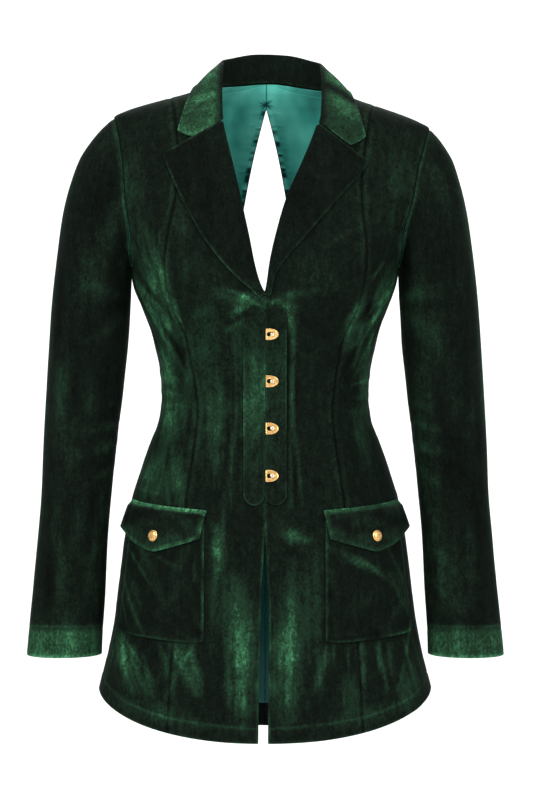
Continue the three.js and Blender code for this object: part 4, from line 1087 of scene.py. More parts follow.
@dataclass
class Sleeves:
    """The two long sleeves, each a tube from the armhole to a turned cuff."""

    around: int = 112
    step: float = 4.0
    roundness: float = 0.94
    cuff_dip: float = 3.0
    cuff_z: float = -618.5

    def grid(self, side: Side) -> tuple[Array, Array, Array]:
        """Lays the sleeve's rings.

        Args:
            side: the side of the body.

        Returns:
            The points, the height of the arm's line at each row, and the turns.
        """
        table = np.array(SLEEVE_RINGS)
        index = np.arange(len(table), dtype=float)
        lines = [Curve(list(zip(index, table[:, i]))) for i in range(3)]
        run = np.abs(np.diff(table[:, :2], axis=0)).mean(axis=1)
        length = np.concatenate([[0.0], np.cumsum(run)])
        k = np.interp(np.arange(0, length[-1] + 0.5 * self.step, self.step), length, index)[:, None]
        k[-1] = index[-1]
        turn = (2 * math.pi * np.arange(self.around) / self.around)[None]
        outer_z, inner_z, depth = (line(k) for line in lines)
        outer = np.stack([SLEEVE_OUTER(outer_z), SLEEVE_SWING(outer_z), outer_z], axis=-1)
        inner = np.stack([SLEEVE_INNER(inner_z), SLEEVE_SWING(inner_z), inner_z], axis=-1)
        centre = (outer + inner) / 2
        points = centre + (outer - centre) * signed_power(np.cos(turn), self.roundness)[..., None]
        points[..., 1] -= depth * signed_power(np.sin(turn), self.roundness)
        points[..., 2] -= self.cuff_dip * np.abs(np.sin(turn)) * np.clip(k - index[-2], 0, 1)
        points[..., 0] *= side.sign
        share = np.clip(1 - k / 5, 0, 1) ** 2 * smooth_step(SHAPE.lean_from, SHAPE.lean_to, points[..., 2])
        points[..., 2] -= share * SHAPE.lean_slope * points[..., 0]
        points[..., 0] += share * SHAPE.lean_shift
        out = np.clip(k, 0, 1)
        share = np.broadcast_to(out * (2 - out), points.shape[:2])
        points = blend_points(self.armhole(side, turn), points, share)
        return points, centre[:, 0, 2], turn

    @staticmethod
    def armhole(side: Side, turn: Array) -> Array:
        """Gives the sleeve's first ring, just under the body above and just outside it at the underarm."""
        j = turn * 2 * YOKE_ROWS / (2 * math.pi)
        row = LAST_ROW - np.where(j <= YOKE_ROWS, j, 2 * YOKE_ROWS - j)
        front_angle, z = Seams.side(row)
        angle = np.where(j <= YOKE_ROWS, front_angle, math.pi - front_angle)
        tuck = CLOTH / 2 + SLEEVE_CLOTH / 2 + SEAM_GAP
        points, _ = SHAPE.spot(side.sign * angle, z, -tuck * np.cos(turn))
        points[..., 0] += side.sign * mix(0.2, 1.1, np.abs(np.sin(turn)))
        return points

    def build(self, side: Side, finish: Finishes) -> None:
        """Builds one sleeve with its creases, its seams and its cuff."""
        points, line, turn = self.grid(side)
        size = FlatSize.of(points, around=True)
        normals = grid_normals(points, around=True) * side.sign
        z = np.broadcast_to(line[:, None], points.shape[:2])
        round_arm = np.broadcast_to(np.degrees(turn), points.shape[:2])
        relief = 0.4 * ripple(round_arm / 32, z / 46, 60 + side.sign)
        crest = np.zeros(points.shape[:2])
        for row in SLEEVE_FOLDS:
            start, end = (row.turn0 * 0.8, row.z0), (row.turn1 * 0.8, row.z1)
            crest += row.crest * ridge(round_arm * 0.8, z, start, end, row.width)
        seam = np.exp(-np.square((round_arm - 202) * 0.8 / 1.6))
        cuff = points[..., 2] - self.cuff_z
        groove = np.exp(-np.square(cuff / 1.5))
        top = np.cumsum(np.linalg.norm(np.diff(points, axis=0, prepend=points[:1]), axis=-1), axis=0)
        head = np.exp(-np.square(top / 3.0))
        relief += crest - 0.6 * seam - 0.8 * groove
        gathers = 0.4 * ripple(round_arm / 5, z / 30, 70)
        relief += gathers * np.exp(-np.square(top / 12)) * smooth_step(0, 6, top)
        # Painted sheen and shade with uneven tone: painted highlights on the crease crests, a lighter turned
        # cuff with painted highlights above it and along its edge, a painted highlight at the sleeve head,
        # painted shade in the cuff's groove, and lighter patches at the inner elbow and along the outer line
        # below the shoulder.
        painted_light = 0.10 + 0.07 * crest + 0.10 * ripple(round_arm / 20, z / 70, 80 + side.sign)
        painted_light += 0.34 * smooth_step(2, -3, cuff) + 0.26 * np.exp(-np.square((cuff - 3) / 2.0)) + 0.25 * head
        painted_light += 0.30 * np.exp(-np.square((top - top[-1:]) / 2.2)) - 0.1 * groove
        painted_light += 0.12 * np.exp(-np.square((round_arm - 180) / 26) - np.square((z + 430) / 60))
        painted_light += 0.14 * np.exp(-np.square((round_arm - 8) / 14)) * smooth_step(-120, -200, z)
        shell = Shell(points + normals * relief[..., None], normals, SLEEVE_CLOTH, True, painted_light, inner_slot=1)
        piece = Piece.add(f"velvet_sleeve_{side.value}", shell.build(), [finish.velvet, finish.satin])
        Piece.cloth(piece, size, f"sleeve_{side.value}", "velvet", held="hung")


class CollarLine(NamedTuple):
    """The collar at a share v of the way from the centre back: its fold and its outer edge."""

    v: float
    fold_x: float
    fold_y: float
    fold_z: float
    edge_x: float
    edge_y: float
    edge_z: float


COLLAR_LINES = (
    CollarLine(0.0, 0, 67, 53.5, 0, 88, 5), CollarLine(0.1, 18, 65, 52.8, 26, 85, 5),
    CollarLine(0.25, 43, 53, 47, 63, 68, 3), CollarLine(0.4, 57, 24, 40, 82, 34, 5),
    CollarLine(0.5, 57, 2, 34, 88, 2, 7), CollarLine(0.75, 57.5, -37, 4, 98, -42, -14),
    CollarLine(1.0, 56, -68, -34, 107.5, -66, -49),
)


NOTCH_DIP = {Side.LEFT: 12.0, Side.RIGHT: 16.0}


@dataclass
class Collar:
    """The collar's two halves: a stand round the neck that folds over into a fall."""

    along: int = 64
    stand: int = 14
    fall: int = 26
    notch_at: float = 0.66
    arch: float = 4.0
    clearance: float = 4.8
    neck_front: float = -36.0

    def neck_seam(self, v: Array, side: Side) -> Grid:
        """Gives the angle and height of the neck seam under the collar."""
        round_back = math.pi * (1 - np.clip(v, 0, 0.5))
        z_front = mix(NECK_SIDE_Z, self.neck_front, np.clip(2 * v - 1, 0, 1))
        angle_front = SHAPE.angle(NECK_EDGE[side](z_front), z_front)
        behind = v <= 0.5
        z = np.where(behind, Seams.neck_back(round_back), z_front)
        return np.where(behind, round_back, angle_front), z

    def notch(self, t: Array) -> Array:
        """Gives how far the fall's end reaches down at a share of its width, with a corner at the notch."""
        away = np.where(t < self.notch_at, 1 - t / self.notch_at, (t - self.notch_at) / (1 - self.notch_at))
        return 1 - away**1.25

    def foot(self, v: Array, side: Side) -> Array:
        """Gives the lower edge of the stand, before the shoulders' lean."""
        angle, z = self.neck_seam(v, side)
        foot, normal = SHAPE.spot(angle, z, fine=False)
        share = smooth_step(SHAPE.lean_from, SHAPE.lean_to, z)
        foot[..., 0] -= SHAPE.lean_shift * share
        foot[..., 2] += SHAPE.lean_slope * foot[..., 0] * share
        inward = np.stack([-np.sin(angle), np.cos(angle), np.zeros_like(angle)], axis=-1)
        slope = np.abs(normal[..., 2])
        foot += inward * (1.5 * slope)[..., None]
        foot[..., 2] += SEAM_GAP + 1.2 * (1 - slope) + 1.0
        return foot

    def clear(self, points: Array) -> Array:
        """Keeps the fall clear of the shoulders and the chest."""
        x, y, z = np.abs(points[..., 0]), points[..., 1], np.minimum(points[..., 2], NECK_BACK_Z)
        share = (x / SHAPE.half(z)) ** SHAPE.roundness
        depth = np.where(y < 0, SHAPE.front(z), SHAPE.back(z))
        depth = depth * np.clip(1 - share, 0, 1) ** (1 / SHAPE.roundness)
        wanted = depth + self.clearance
        near = (share < 1) & (np.abs(y) < wanted)
        moved = points.copy()
        moved[..., 1] = np.where(near, np.where(y < 0, -wanted, wanted), y)
        return moved

    def grid(self, side: Side) -> Array:
        """Lays the collar's sections from the centre back to the front end."""
        v = np.linspace(0, 1, self.along + 1)
        table = np.array(COLLAR_LINES)
        values = [Curve(list(zip(table[:, 0], table[:, i])))(v) for i in range(1, 7)]
        fold, rim = np.stack(values[:3], axis=-1), np.stack(values[3:], axis=-1)
        foot = self.foot(v, side)
        up = np.linspace(0, 1, self.stand + 1)[:-1, None]
        stand = blend_points(foot[:, None], fold[:, None], np.broadcast_to(up[:, 0], (len(v), self.stand)))
        t = np.linspace(0, 1, self.fall + 1)[None]
        v_column = v[:, None]
        fall = blend_points(fold[:, None], rim[:, None], np.broadcast_to(t, (len(v), self.fall + 1)))
        arch = self.arch * np.sin(math.pi * np.minimum(1, t * 1.15)) * (1 - 0.7 * v_column)
        notch = NOTCH_DIP[side] * smooth_step(0.72, 1, v_column) * self.notch(t)
        outwards = (rim - fold) * np.array([1.0, 1.0, 0.0])
        fall = fall + unit(outwards)[:, None] * (2.5 * np.sin(math.pi * t) * (1 - v_column))[..., None]
        fall[..., 2] += arch - notch
        cleared = self.clear(fall)
        fall = blend_points(fall, cleared, np.broadcast_to(smooth_step(0.0, 0.16, t), fall.shape[:2]))
        points = np.concatenate([stand, fall], axis=1)
        bend = slice(self.stand - 2, self.stand + 3)
        for _ in range(2):
            inside = points[:, bend]
            before, after = points[:, bend.start - 1:bend.stop - 1], points[:, bend.start + 1:bend.stop + 1]
            middle = 0.25 * before + 0.25 * after
            points[:, bend] = 0.5 * inside + middle
        points[0, :, 0] = 0.12
        points[..., 0] *= side.sign
        return SHAPE.lean(points)

    def build(self, side: Side, finish: Finishes) -> None:
        """Builds one half of the collar."""
        points = self.grid(side)
        size = FlatSize.of(points)
        normals = grid_normals(points)
        normals *= np.sign(normals[self.along // 2, -3, 2])
        rim = edge_distance(np.concatenate([points[:1] - (points[1:2] - points[:1]) * 30, points]))[1:]
        along = np.broadcast_to(np.linspace(0, 1, self.along + 1)[:, None], points.shape[:2])
        over = np.broadcast_to(np.linspace(0, 1, points.shape[1])[None], points.shape[:2])
        streaks = ripple(along * 13, over * 1.2, 90 + side.sign)
        relief = 0.35 * streaks * smooth_step(0.35, 0.6, over) - 0.3 * np.exp(-np.square((rim - 4.2) / 1.1))
        fallen = smooth_step(0.34, 0.5, over)
        # Painted sheen and shade: the fall lighter than the stand, more so on the left half where the light
        # falls, two painted highlight spots towards the front end with a painted shade band between them, and
        # a painted highlight along the edges.
        bright = 1.0 if side is Side.LEFT else 0.62
        painted_light = 0.09 + bright * fallen * (0.44 + 0.22 * streaks) + edge_light(points, rim, 0.2, 94)
        painted_light += 0.2 * bright * np.exp(-np.square((over - 0.62) / 0.14) - np.square((along - 0.60) / 0.05))
        painted_light += 0.2 * bright * np.exp(-np.square((over - 0.75) / 0.25) - np.square((along - 0.78) / 0.04))
        painted_light -= 0.2 * fallen * np.exp(-np.square((along - 0.69) / 0.05))
        shell = Shell(points + normals * relief[..., None], normals, TRIM_CLOTH, painted_light=painted_light)
        piece = Piece.add(f"velvet_collar_{side.value}", shell.build(), [finish.velvet])
        Piece.cloth(piece, size, f"collar_{side.value}", "velvet", held="folded")


LAPEL_EDGE = {
    Side.LEFT: Curve([
        (-239, 4.5), (-229, 15.5), (-215, 31.5), (-189.5, 55),
        (-161.5, 76.1), (-131, 94.9), (-106, 109.2), (-77.5, 123),
    ]),
    Side.RIGHT: Curve([
        (-236, 2), (-218, 8), (-201, 18), (-165, 46.7),
        (-134, 70.7), (-110.5, 89.3), (-89, 107), (-79.2, 110.6),
    ]),
}


PEAK_Z = {Side.LEFT: -77.5, Side.RIGHT: -79.2}


@dataclass
class Lapels:
    """The two lapels, which turn over the roll line and end in a peak under the collar's notch."""

    rows: int = 72
    columns: int = 26
    top_inner_z: float = -39.0
    lift: float = 2.7
    roll: tuple[tuple[float, float], ...] = ((-2.3, 0.3), (-2.15, 1.1), (-1.5, 1.9), (-0.4, 2.35))

    foot_inner: float = 0.5
    foot_outer: float = -2.5

    def grid(self, side: Side) -> Grid:
        """Lays the lapel over the chest, roll first."""
        t = np.linspace(0, 1, self.rows + 1)[:, None]
        inner_z = mix(V_BOTTOM_Z + self.foot_inner, self.top_inner_z, t)
        outer_z = mix(V_BOTTOM_Z + self.foot_outer, PEAK_Z[side], t)
        inner_x = np.maximum(NECK_EDGE[side](inner_z), 1.1)
        outer_x = np.maximum(LAPEL_EDGE[side](outer_z), inner_x + 4)
        s = np.linspace(0, 1, self.columns + 1)[None]
        x = [inner_x + dx for dx, _ in self.roll] + [mix(inner_x + 1, outer_x, s)]
        z = [inner_z for _ in self.roll] + [mix(inner_z, outer_z, s)]
        lift = [np.full_like(inner_x, up) for _, up in self.roll] + [self.lift + 1.6 * (1 - s) * t]
        x, z, lift = (np.concatenate(parts, axis=1) for parts in (x, z, lift))
        angle = side.sign * SHAPE.angle(x, z)
        return SHAPE.spot(angle, z, lift, fine=False)

    def build(self, side: Side, finish: Finishes) -> None:
        """Builds one lapel."""
        points, _ = self.grid(side)
        size = FlatSize.of(points)
        normals = grid_normals(points) * side.sign
        edge = edge_distance(points)
        relief = 0.25 * ripple(points[..., 0] / 30, points[..., 2] / 34, 100 + side.sign)
        relief -= 0.35 * np.exp(-np.square((edge - 4.0) / 1.1))
        # Painted sheen: a painted highlight along the edges, stronger on the left lapel, a little lighter
        # towards the foot, and the fine painted highlight lines.
        rim = 0.34 if side is Side.LEFT else 0.2
        painted_light = 0.07 + edge_light(points, edge, rim, 104)
        painted_light = painted_light + 0.04 * ripple(points[..., 0] / 9, points[..., 2] / 60, 7)
        painted_light += 0.06 * smooth_step(-190, -232, points[..., 2]) + 0.7 * pull_light(points)
        shell = Shell(points + normals * relief[..., None], normals, TRIM_CLOTH, painted_light=painted_light)
        piece = Piece.add(f"velvet_lapel_{side.value}", shell.build(), [finish.velvet])
        Piece.cloth(piece, size, f"lapel_{side.value}", "velvet", held="folded")


@dataclass
class BackLining:
    """The satin lining of the back, gathered along the keyhole's casing."""

    columns: int = 56
    crowding: float = 1.8
    reach: float = 0.97
    yoke_reach: float = 0.86
    loose: float = 2.2
    casing: float = 5.5
    apex_x: float = 1.5
    apex_z: float = -6.5

    def grid(self, side: Side) -> Grid:
        """Lays the lining under the back panels, with fine rows and columns where the keyhole gathers it."""
        rows = np.concatenate([np.linspace(1, 12.5, 60), np.linspace(12.5, LAST_ROW - 0.1, 460)[1:]])
        share = np.linspace(0, 1, self.columns + 1)[None] ** self.crowding
        share = share * mix(self.reach, self.yoke_reach, smooth_step(BODY_ROWS, BODY_ROWS + 1, rows))[:, None]
        centre, princess = Seams.centre_back(rows, side), Seams.back_princess(rows)
        end = Seams.back_side(rows)
        inside = share < 0.5
        part = np.where(inside, 2 * share, 2 * share - 1)
        angle, z = (
            np.where(inside, mix(a[:, None], b[:, None], part), mix(b[:, None], c[:, None], part))
            for a, b, c in zip(centre, princess, end)
        )
        drop = CLOTH / 2 + LINING_CLOTH / 2 + SEAM_GAP + 0.3
        loose = self.loose * (1 - smooth_step(-110, -30, z))
        points, normals = SHAPE.spot(side.sign * angle, z, -drop - loose, fine=False)
        return points, normals

    def build(self, side: Side, finish: Finishes) -> None:
        """Builds one half of the lining, its right side to the inside of the jacket."""
        points, normals = self.grid(side)
        points = draw_back(points, 0.3)
        size = FlatSize.of(points)
        x, z = points[..., 0], points[..., 2]
        over = np.cumsum(np.linalg.norm(np.diff(points, axis=1, prepend=points[:, :1]), axis=-1), axis=1)
        open_edge = smooth_step(-330, -318, z) * smooth_step(-8, -14, z)
        gather = np.exp(-np.square(over / self.casing) ** 2)
        beads = np.clip(1.7 * ripple(z / 2.8, over / 40, 110 + side.sign), -1, 1)
        relief = (0.9 * beads - 0.9) * gather * open_edge
        relief += 0.5 * np.exp(-np.square((over - self.casing - 1) / 1.2)) * open_edge
        puckers = ripple(z / 3.4, over / 60, 112)
        puckers = puckers * np.exp(-np.square((over - 9) / 7)) * smooth_step(5, 8, over)
        folds = 0.9 * np.abs(ripple(x / 26, z / 48, 114 + side.sign))
        relief += 0.5 * puckers * open_edge - folds * smooth_step(4, 20, over)
        star = np.zeros(points.shape[:2])
        for turn, reach in ((-38, 7), (-10, 8), (38, 9), (62, 6), (125, 6), (160, 8), (188, 7), (220, 7)):
            tail = (math.cos(math.radians(turn)) * reach, self.apex_z + math.sin(math.radians(turn)) * reach)
            star += ridge(x - self.apex_x, z, (0.0, self.apex_z), tail, 0.9)
        relief -= 0.8 * star
        seam = np.exp(-np.square(over / 0.9)) * (1 - open_edge)
        limit = mix(0.15, 1.6, 1 - smooth_step(-110, -30, z))
        relief = np.clip(relief + 0.4 * seam, -2.2, limit) + 0.5 * smooth_step(-14, -2, z)
        # Painted shade and highlights on the satin, a higher value being darker: light and dark beads along
        # the gathered casing, dark puckers and a dark star at the apex, darker along the centre back seam and
        # the open edge, painted shade deep inside the jacket below the waist and towards the sides, and a
        # lighter line near the hem.
        tone = (0.18 - 0.42 * beads) * gather * open_edge + 0.35 * seam + 0.5 * np.clip(star, 0, 1)
        tone += 0.14 * np.clip(-puckers, 0, 1) * open_edge + 0.4 * np.exp(-np.square(over / 0.8)) * open_edge
        tone += 0.16 * np.exp(-np.square((over - 11) / 5)) * open_edge * smooth_step(-60, -130, z)
        tone += 0.62 * smooth_step(-380, -470, z) - 0.2 * np.exp(-np.square((z + 700) / 5))
        tone += 0.14 * smooth_step(40, 64, np.abs(x)) * smooth_step(-300, -200, z)
        shell = Shell(points + normals * relief[..., None], normals, LINING_CLOTH, painted_light=tone, inner_painted_light=1.0)
        piece = Piece.add(f"satin_lining_back_{side.value}", shell.build(), [finish.satin])
        Piece.cloth(piece, size, f"lining_back_{side.value}", "satin")


@dataclass
class BuskPanels:
    """The two round-ended strips that carry the busk beside the centre front."""

    rows: int = 96
    columns: int = 14
    inner: float = 0.5
    outer: float = 24.0
    top_z: float = -247.0
    bottom_z: float = -474.5
    top_rise: float = 7.0
    bottom_rise: float = 9.0
    lift: float = 2.6

    def build(self, side: Side, finish: Finishes) -> None:
        """Builds one strip with its stitched edge."""
        s = np.linspace(0, 1, self.columns + 1)[None]
        t = np.linspace(0, 1, self.rows + 1)[:, None]
        bend = np.abs(2 * s - 1)
        z = mix(self.bottom_z + self.bottom_rise * bend**2.4, self.top_z - self.top_rise * bend**2.2, t)
        x = np.broadcast_to(mix(self.inner, self.outer, s), z.shape)
        points, normals = SHAPE.spot(side.sign * SHAPE.angle(x, z), z, self.lift, fine=False)
        size = FlatSize.of(points)
        edge = edge_distance(points)
        relief = 0.22 * ripple(x / 16, z / 22, 120 + side.sign) - 0.4 * np.exp(-np.square((edge - 3.2) / 0.9))
        mottle = ripple(x / 11, z / 26, 122 + side.sign)
        # Painted sheen: a painted highlight band round the middle of the strip, stronger on the left, and a
        # painted highlight along its edges.
        glow = 0.34 if side is Side.LEFT else 0.16
        middle = np.exp(-np.square((z + 350) / 62))
        painted_light = 0.14 + glow * middle * (0.75 + 0.4 * mottle) + edge_light(points, edge, 0.2, 124)
        shell = Shell(points + normals * relief[..., None], normals, TRIM_CLOTH, painted_light=painted_light)
        piece = Piece.add(f"velvet_busk_panel_{side.value}", shell.build(), [finish.velvet])
        Piece.cloth(piece, size, f"busk_panel_{side.value}", "velvet")


@dataclass
class Pockets:
    """The two patch pockets, their pointed flaps and the brass snaps that close them."""

    cells: int = 40
    inner_x: float = 69.0
    outer_angle: float = math.radians(71)
    top_z: float = -489.0
    bottom_inner_z: float = -632.0
    bottom_outer_z: float = -620.0
    bulge: float = 6.0
    flap_inner_top: float = 66.5
    flap_inner_bottom: float = 73.0
    flap_outer: float = math.radians(78)
    flap_top_inner: float = -481.0
    flap_top_outer: float = -470.0
    flap_side: float = 32.0
    flap_point: float = 52.0
    flap_peak: float = 0.41
    flap_flare: float = 5.0
    snap_angle: float = math.radians(45.5)
    snap_z: float = -511.0
    snap_radius: float = 6.5
    snap_height: float = 3.2

    creases = {
        Side.LEFT: (
            ((-147, -517), (-127, -553), 1.2, 4.5), ((-157, -554), (-142, -593), 1.3, 4.5),
            ((-160, -576), (-139, -621), 1.1, 4.0), ((-104, -556), (-84, -520), 0.8, 5.0),
            ((-120, -600), (-92, -560), 0.6, 7.0), ((-150, -535), (-112, -585), 0.8, 6.0),
        ),
        Side.RIGHT: (
            ((75, -522), (152, -563), 1.3, 4.5), ((84, -534), (130, -548), 0.8, 4.5),
            ((150, -540), (158, -600), 0.9, 4.5), ((90, -600), (124, -575), 0.6, 7.0),
            ((140, -612), (156, -590), 0.7, 4.5),
        ),
    }

    def lift(self, angle: Array, z: Array) -> Array:
        """Gives how far the pocket's cloth stands off the body."""
        inner = SHAPE.angle(self.inner_x, z)
        s = np.clip((angle - inner) / (self.outer_angle - inner), 0, 1)
        t = np.clip((z - self.bottom_inner_z) / (self.top_z - self.bottom_inner_z), 0, 1)
        full = np.sin(math.pi * s) ** 0.8 * np.sin(math.pi * mix(0.04, 0.72, t)) ** 0.8
        return CLOTH / 2 + TRIM_CLOTH / 2 + SEAM_GAP + 0.2 + self.bulge * full

    def pocket(self, side: Side, finish: Finishes) -> None:
        """Builds one patch pocket, puckered along its stitched edges."""
        s = np.linspace(0, 1, self.cells + 1)[None]
        t = np.linspace(0, 1, self.cells + 1)[:, None]
        bottom = mix(self.bottom_inner_z, self.bottom_outer_z, s) + 4 * np.abs(2 * s - 1) ** 8
        z = mix(bottom, self.top_z + 6 * s, t)
        angle = mix(SHAPE.angle(self.inner_x, z), self.outer_angle, s)
        points, normals = SHAPE.spot(side.sign * angle, z, self.lift(angle, z), fine=False)
        size = FlatSize.of(points)
        edge = edge_distance(points)
        x = points[..., 0]
        crest = np.zeros(x.shape)
        for start, end, height, width in self.creases[side]:
            crest += height * ridge(x, z, start, end, width)
        pucker = ripple((x + z) / 9, edge / 12, 130 + side.sign) * np.exp(-np.square((edge - 5) / 6))
        inner = smooth_step(1.5, 6, edge)
        relief = (crest + 0.3 * pucker) * inner - 0.3 * np.exp(-np.square((edge - 3.6) / 1.0))
        # Painted sheen: painted highlights on the crease crests, the puckers and the edges, and the fine
        # painted highlight lines.
        painted_light = 0.09 + 0.10 * crest + 0.08 * pucker + edge_light(points, edge, 0.34, 134) + pull_light(points)
        shell = Shell(points + normals * relief[..., None], normals, TRIM_CLOTH, painted_light=painted_light)
        piece = Piece.add(f"velvet_pocket_{side.value}", shell.build(), [finish.velvet])
        Piece.cloth(piece, size, f"pocket_{side.value}", "velvet")

    def flap_drop(self, s: Array | float) -> Array:
        """Gives how far the flap hangs down at a share of its width, longest at its point."""
        span = np.where(np.asarray(s) < self.flap_peak, self.flap_peak, 1 - self.flap_peak)
        return mix(self.flap_side, self.flap_point, 1 - np.abs((s - self.flap_peak) / span) ** 1.15)

    def flap_spot(self, side: Side, s: Array, t: Array) -> Grid:
        """Gives a flap's point and normal: s goes from its inner to its outer side, t from its top down."""
        top = mix(self.flap_top_inner, self.flap_top_outer, s)
        height = self.flap_drop(s)
        z = top - height * t
        inner = SHAPE.angle(mix(self.flap_inner_top, self.flap_inner_bottom, t), z)
        angle = mix(inner, self.flap_outer, s)
        seated = CLOTH / 2 + TRIM_CLOTH / 2 + SEAM_GAP
        over = self.lift(angle, z) + TRIM_CLOTH + 4 * SEAM_GAP
        lift = mix(seated, over, smooth_step(0, 0.24, t)) + self.flap_flare * t * s**4
        return SHAPE.spot(side.sign * angle, z, lift, fine=False)

    def flap(self, side: Side, finish: Finishes) -> None:
        """Builds one flap: a bound band at its top and turned edges below."""
        s = np.linspace(0, 1, self.cells + 1)[None]
        t = np.linspace(0, 1, 26)[:, None]
        s, t = np.broadcast_arrays(s, t)
        points, normals = self.flap_spot(side, s, t)
        size = FlatSize.of(points)
        edge = edge_distance(points)
        down = np.cumsum(np.linalg.norm(np.diff(points, axis=0, prepend=points[:1]), axis=-1), axis=0)
        band = np.exp(-np.square((down - 6.5) / 1.1))
        border = np.exp(-np.square((edge - 4.6) / 1.0)) * smooth_step(7, 9, down)
        soft = ripple(points[..., 0] / 13, points[..., 2] / 11, 140 + side.sign)
        relief = 0.5 * soft * smooth_step(3, 9, edge) - 0.5 * band - 0.3 * border
        # Painted sheen: a painted highlight on the top band and along the edges and a lighter band low on the
        # flap, stronger on the left flap.
        bright = 1.0 if side is Side.LEFT else 0.5
        lit_edges = 0.34 * smooth_step(7.5, 5, down) + 0.2 * smooth_step(5.5, 3, edge)
        painted_light = 0.12 + bright * lit_edges + 0.08 * soft
        painted_light += bright * 0.14 * np.exp(-np.square((t - 0.8) / 0.18)) + edge_light(points, edge, 0.2, 144)
        shell = Shell(points + normals * relief[..., None], normals, TRIM_CLOTH, painted_light=painted_light)
        piece = Piece.add(f"velvet_pocket_flap_{side.value}", shell.build(), [finish.velvet])
        Piece.cloth(piece, size, f"pocket_flap_{side.value}", "velvet", held="hung")

    def snap(self, side: Side, finish: Finishes) -> None:
        """Builds the brass dome that snaps one flap shut."""
        inner = float(SHAPE.angle(self.flap_inner_top, self.snap_z))
        s = (self.snap_angle - inner) / (self.flap_outer - inner)
        top = mix(self.flap_top_inner, self.flap_top_outer, s)
        height = self.flap_drop(s)
        t = (top - self.snap_z) / height
        points, normals = self.flap_spot(side, np.array([s]), np.array([t]))
        radius, tall = self.snap_radius, self.snap_height
        profile = [
            (0.0, 0.0), (radius * 0.97, 0.0), (radius, 0.25), (radius, 0.65), (radius * 0.96, 0.95),
            (radius * 0.90, 1.0), (radius * 0.865, 1.1), (radius * 0.85, 1.5), (radius * 0.83, tall * 0.68),
            (radius * 0.76, tall * 0.82), (radius * 0.62, tall * 0.92), (radius * 0.4, tall * 0.975),
            (radius * 0.18, tall), (0.0, tall),
        ]
        foot = points[0] + normals[0] * (TRIM_CLOTH / 2 + SEAM_GAP + 0.5)
        piece = Piece.add(f"brass_snap_{side.value}", lathe(profile, foot, normals[0], 48), [finish.brass])
        Piece.metal(piece, f"snap_{side.value}")

    def build(self, side: Side, finish: Finishes) -> None:
        """Builds one side's pocket, flap and snap."""
        self.pocket(side, finish)
        self.flap(side, finish)
        self.snap(side, finish)


def frame_towards(normal: Array) -> Array:
    """Gives the axes right, up and out of a surface with that normal, as rows."""
    out = unit(np.asarray(normal, float))
    right = unit(np.cross([0.0, 0.0, 1.0], out))
    return np.stack([right, np.cross(out, right), out])


def lathe(profile: Sequence[tuple[float, float]], foot: Array, normal: Array, segments: int) -> Mesh:
    """Turns a profile round an axis.

    Args:
        profile: pairs of radius and height, from the axis back to the axis.
        foot: where the axis starts.
        normal: the axis's direction.
        segments: steps round it.

    Returns:
        The closed mesh.
    """
    axes = frame_towards(normal)
    turn = 2 * math.pi * np.arange(segments) / segments
    rings = np.array(profile[1:-1])
    height = np.broadcast_to(rings[:, 1:], (len(rings), segments))
    local = np.stack([
        rings[:, :1] * np.cos(turn), rings[:, :1] * np.sin(turn), height,
    ], axis=-1).reshape(-1, 3)
    local = np.concatenate([local, [[0, 0, profile[0][1]], [0, 0, profile[-1][1]]]])
    index = np.arange(len(rings) * segments).reshape(len(rings), segments)
    faces = []
    for low, high in zip(index[:-1], index[1:]):
        faces += np.stack([low, np.roll(low, -1), np.roll(high, -1), high], axis=1).tolist()
    bottom, top = len(local) - 2, len(local) - 1
    faces += [(bottom, int(b), int(a)) for a, b in zip(index[0], np.roll(index[0], -1))]
    faces += [(top, int(a), int(b)) for a, b in zip(index[-1], np.roll(index[-1], -1))]
    return Mesh(foot + local @ axes, faces, [0] * len(faces), np.zeros(len(local)))


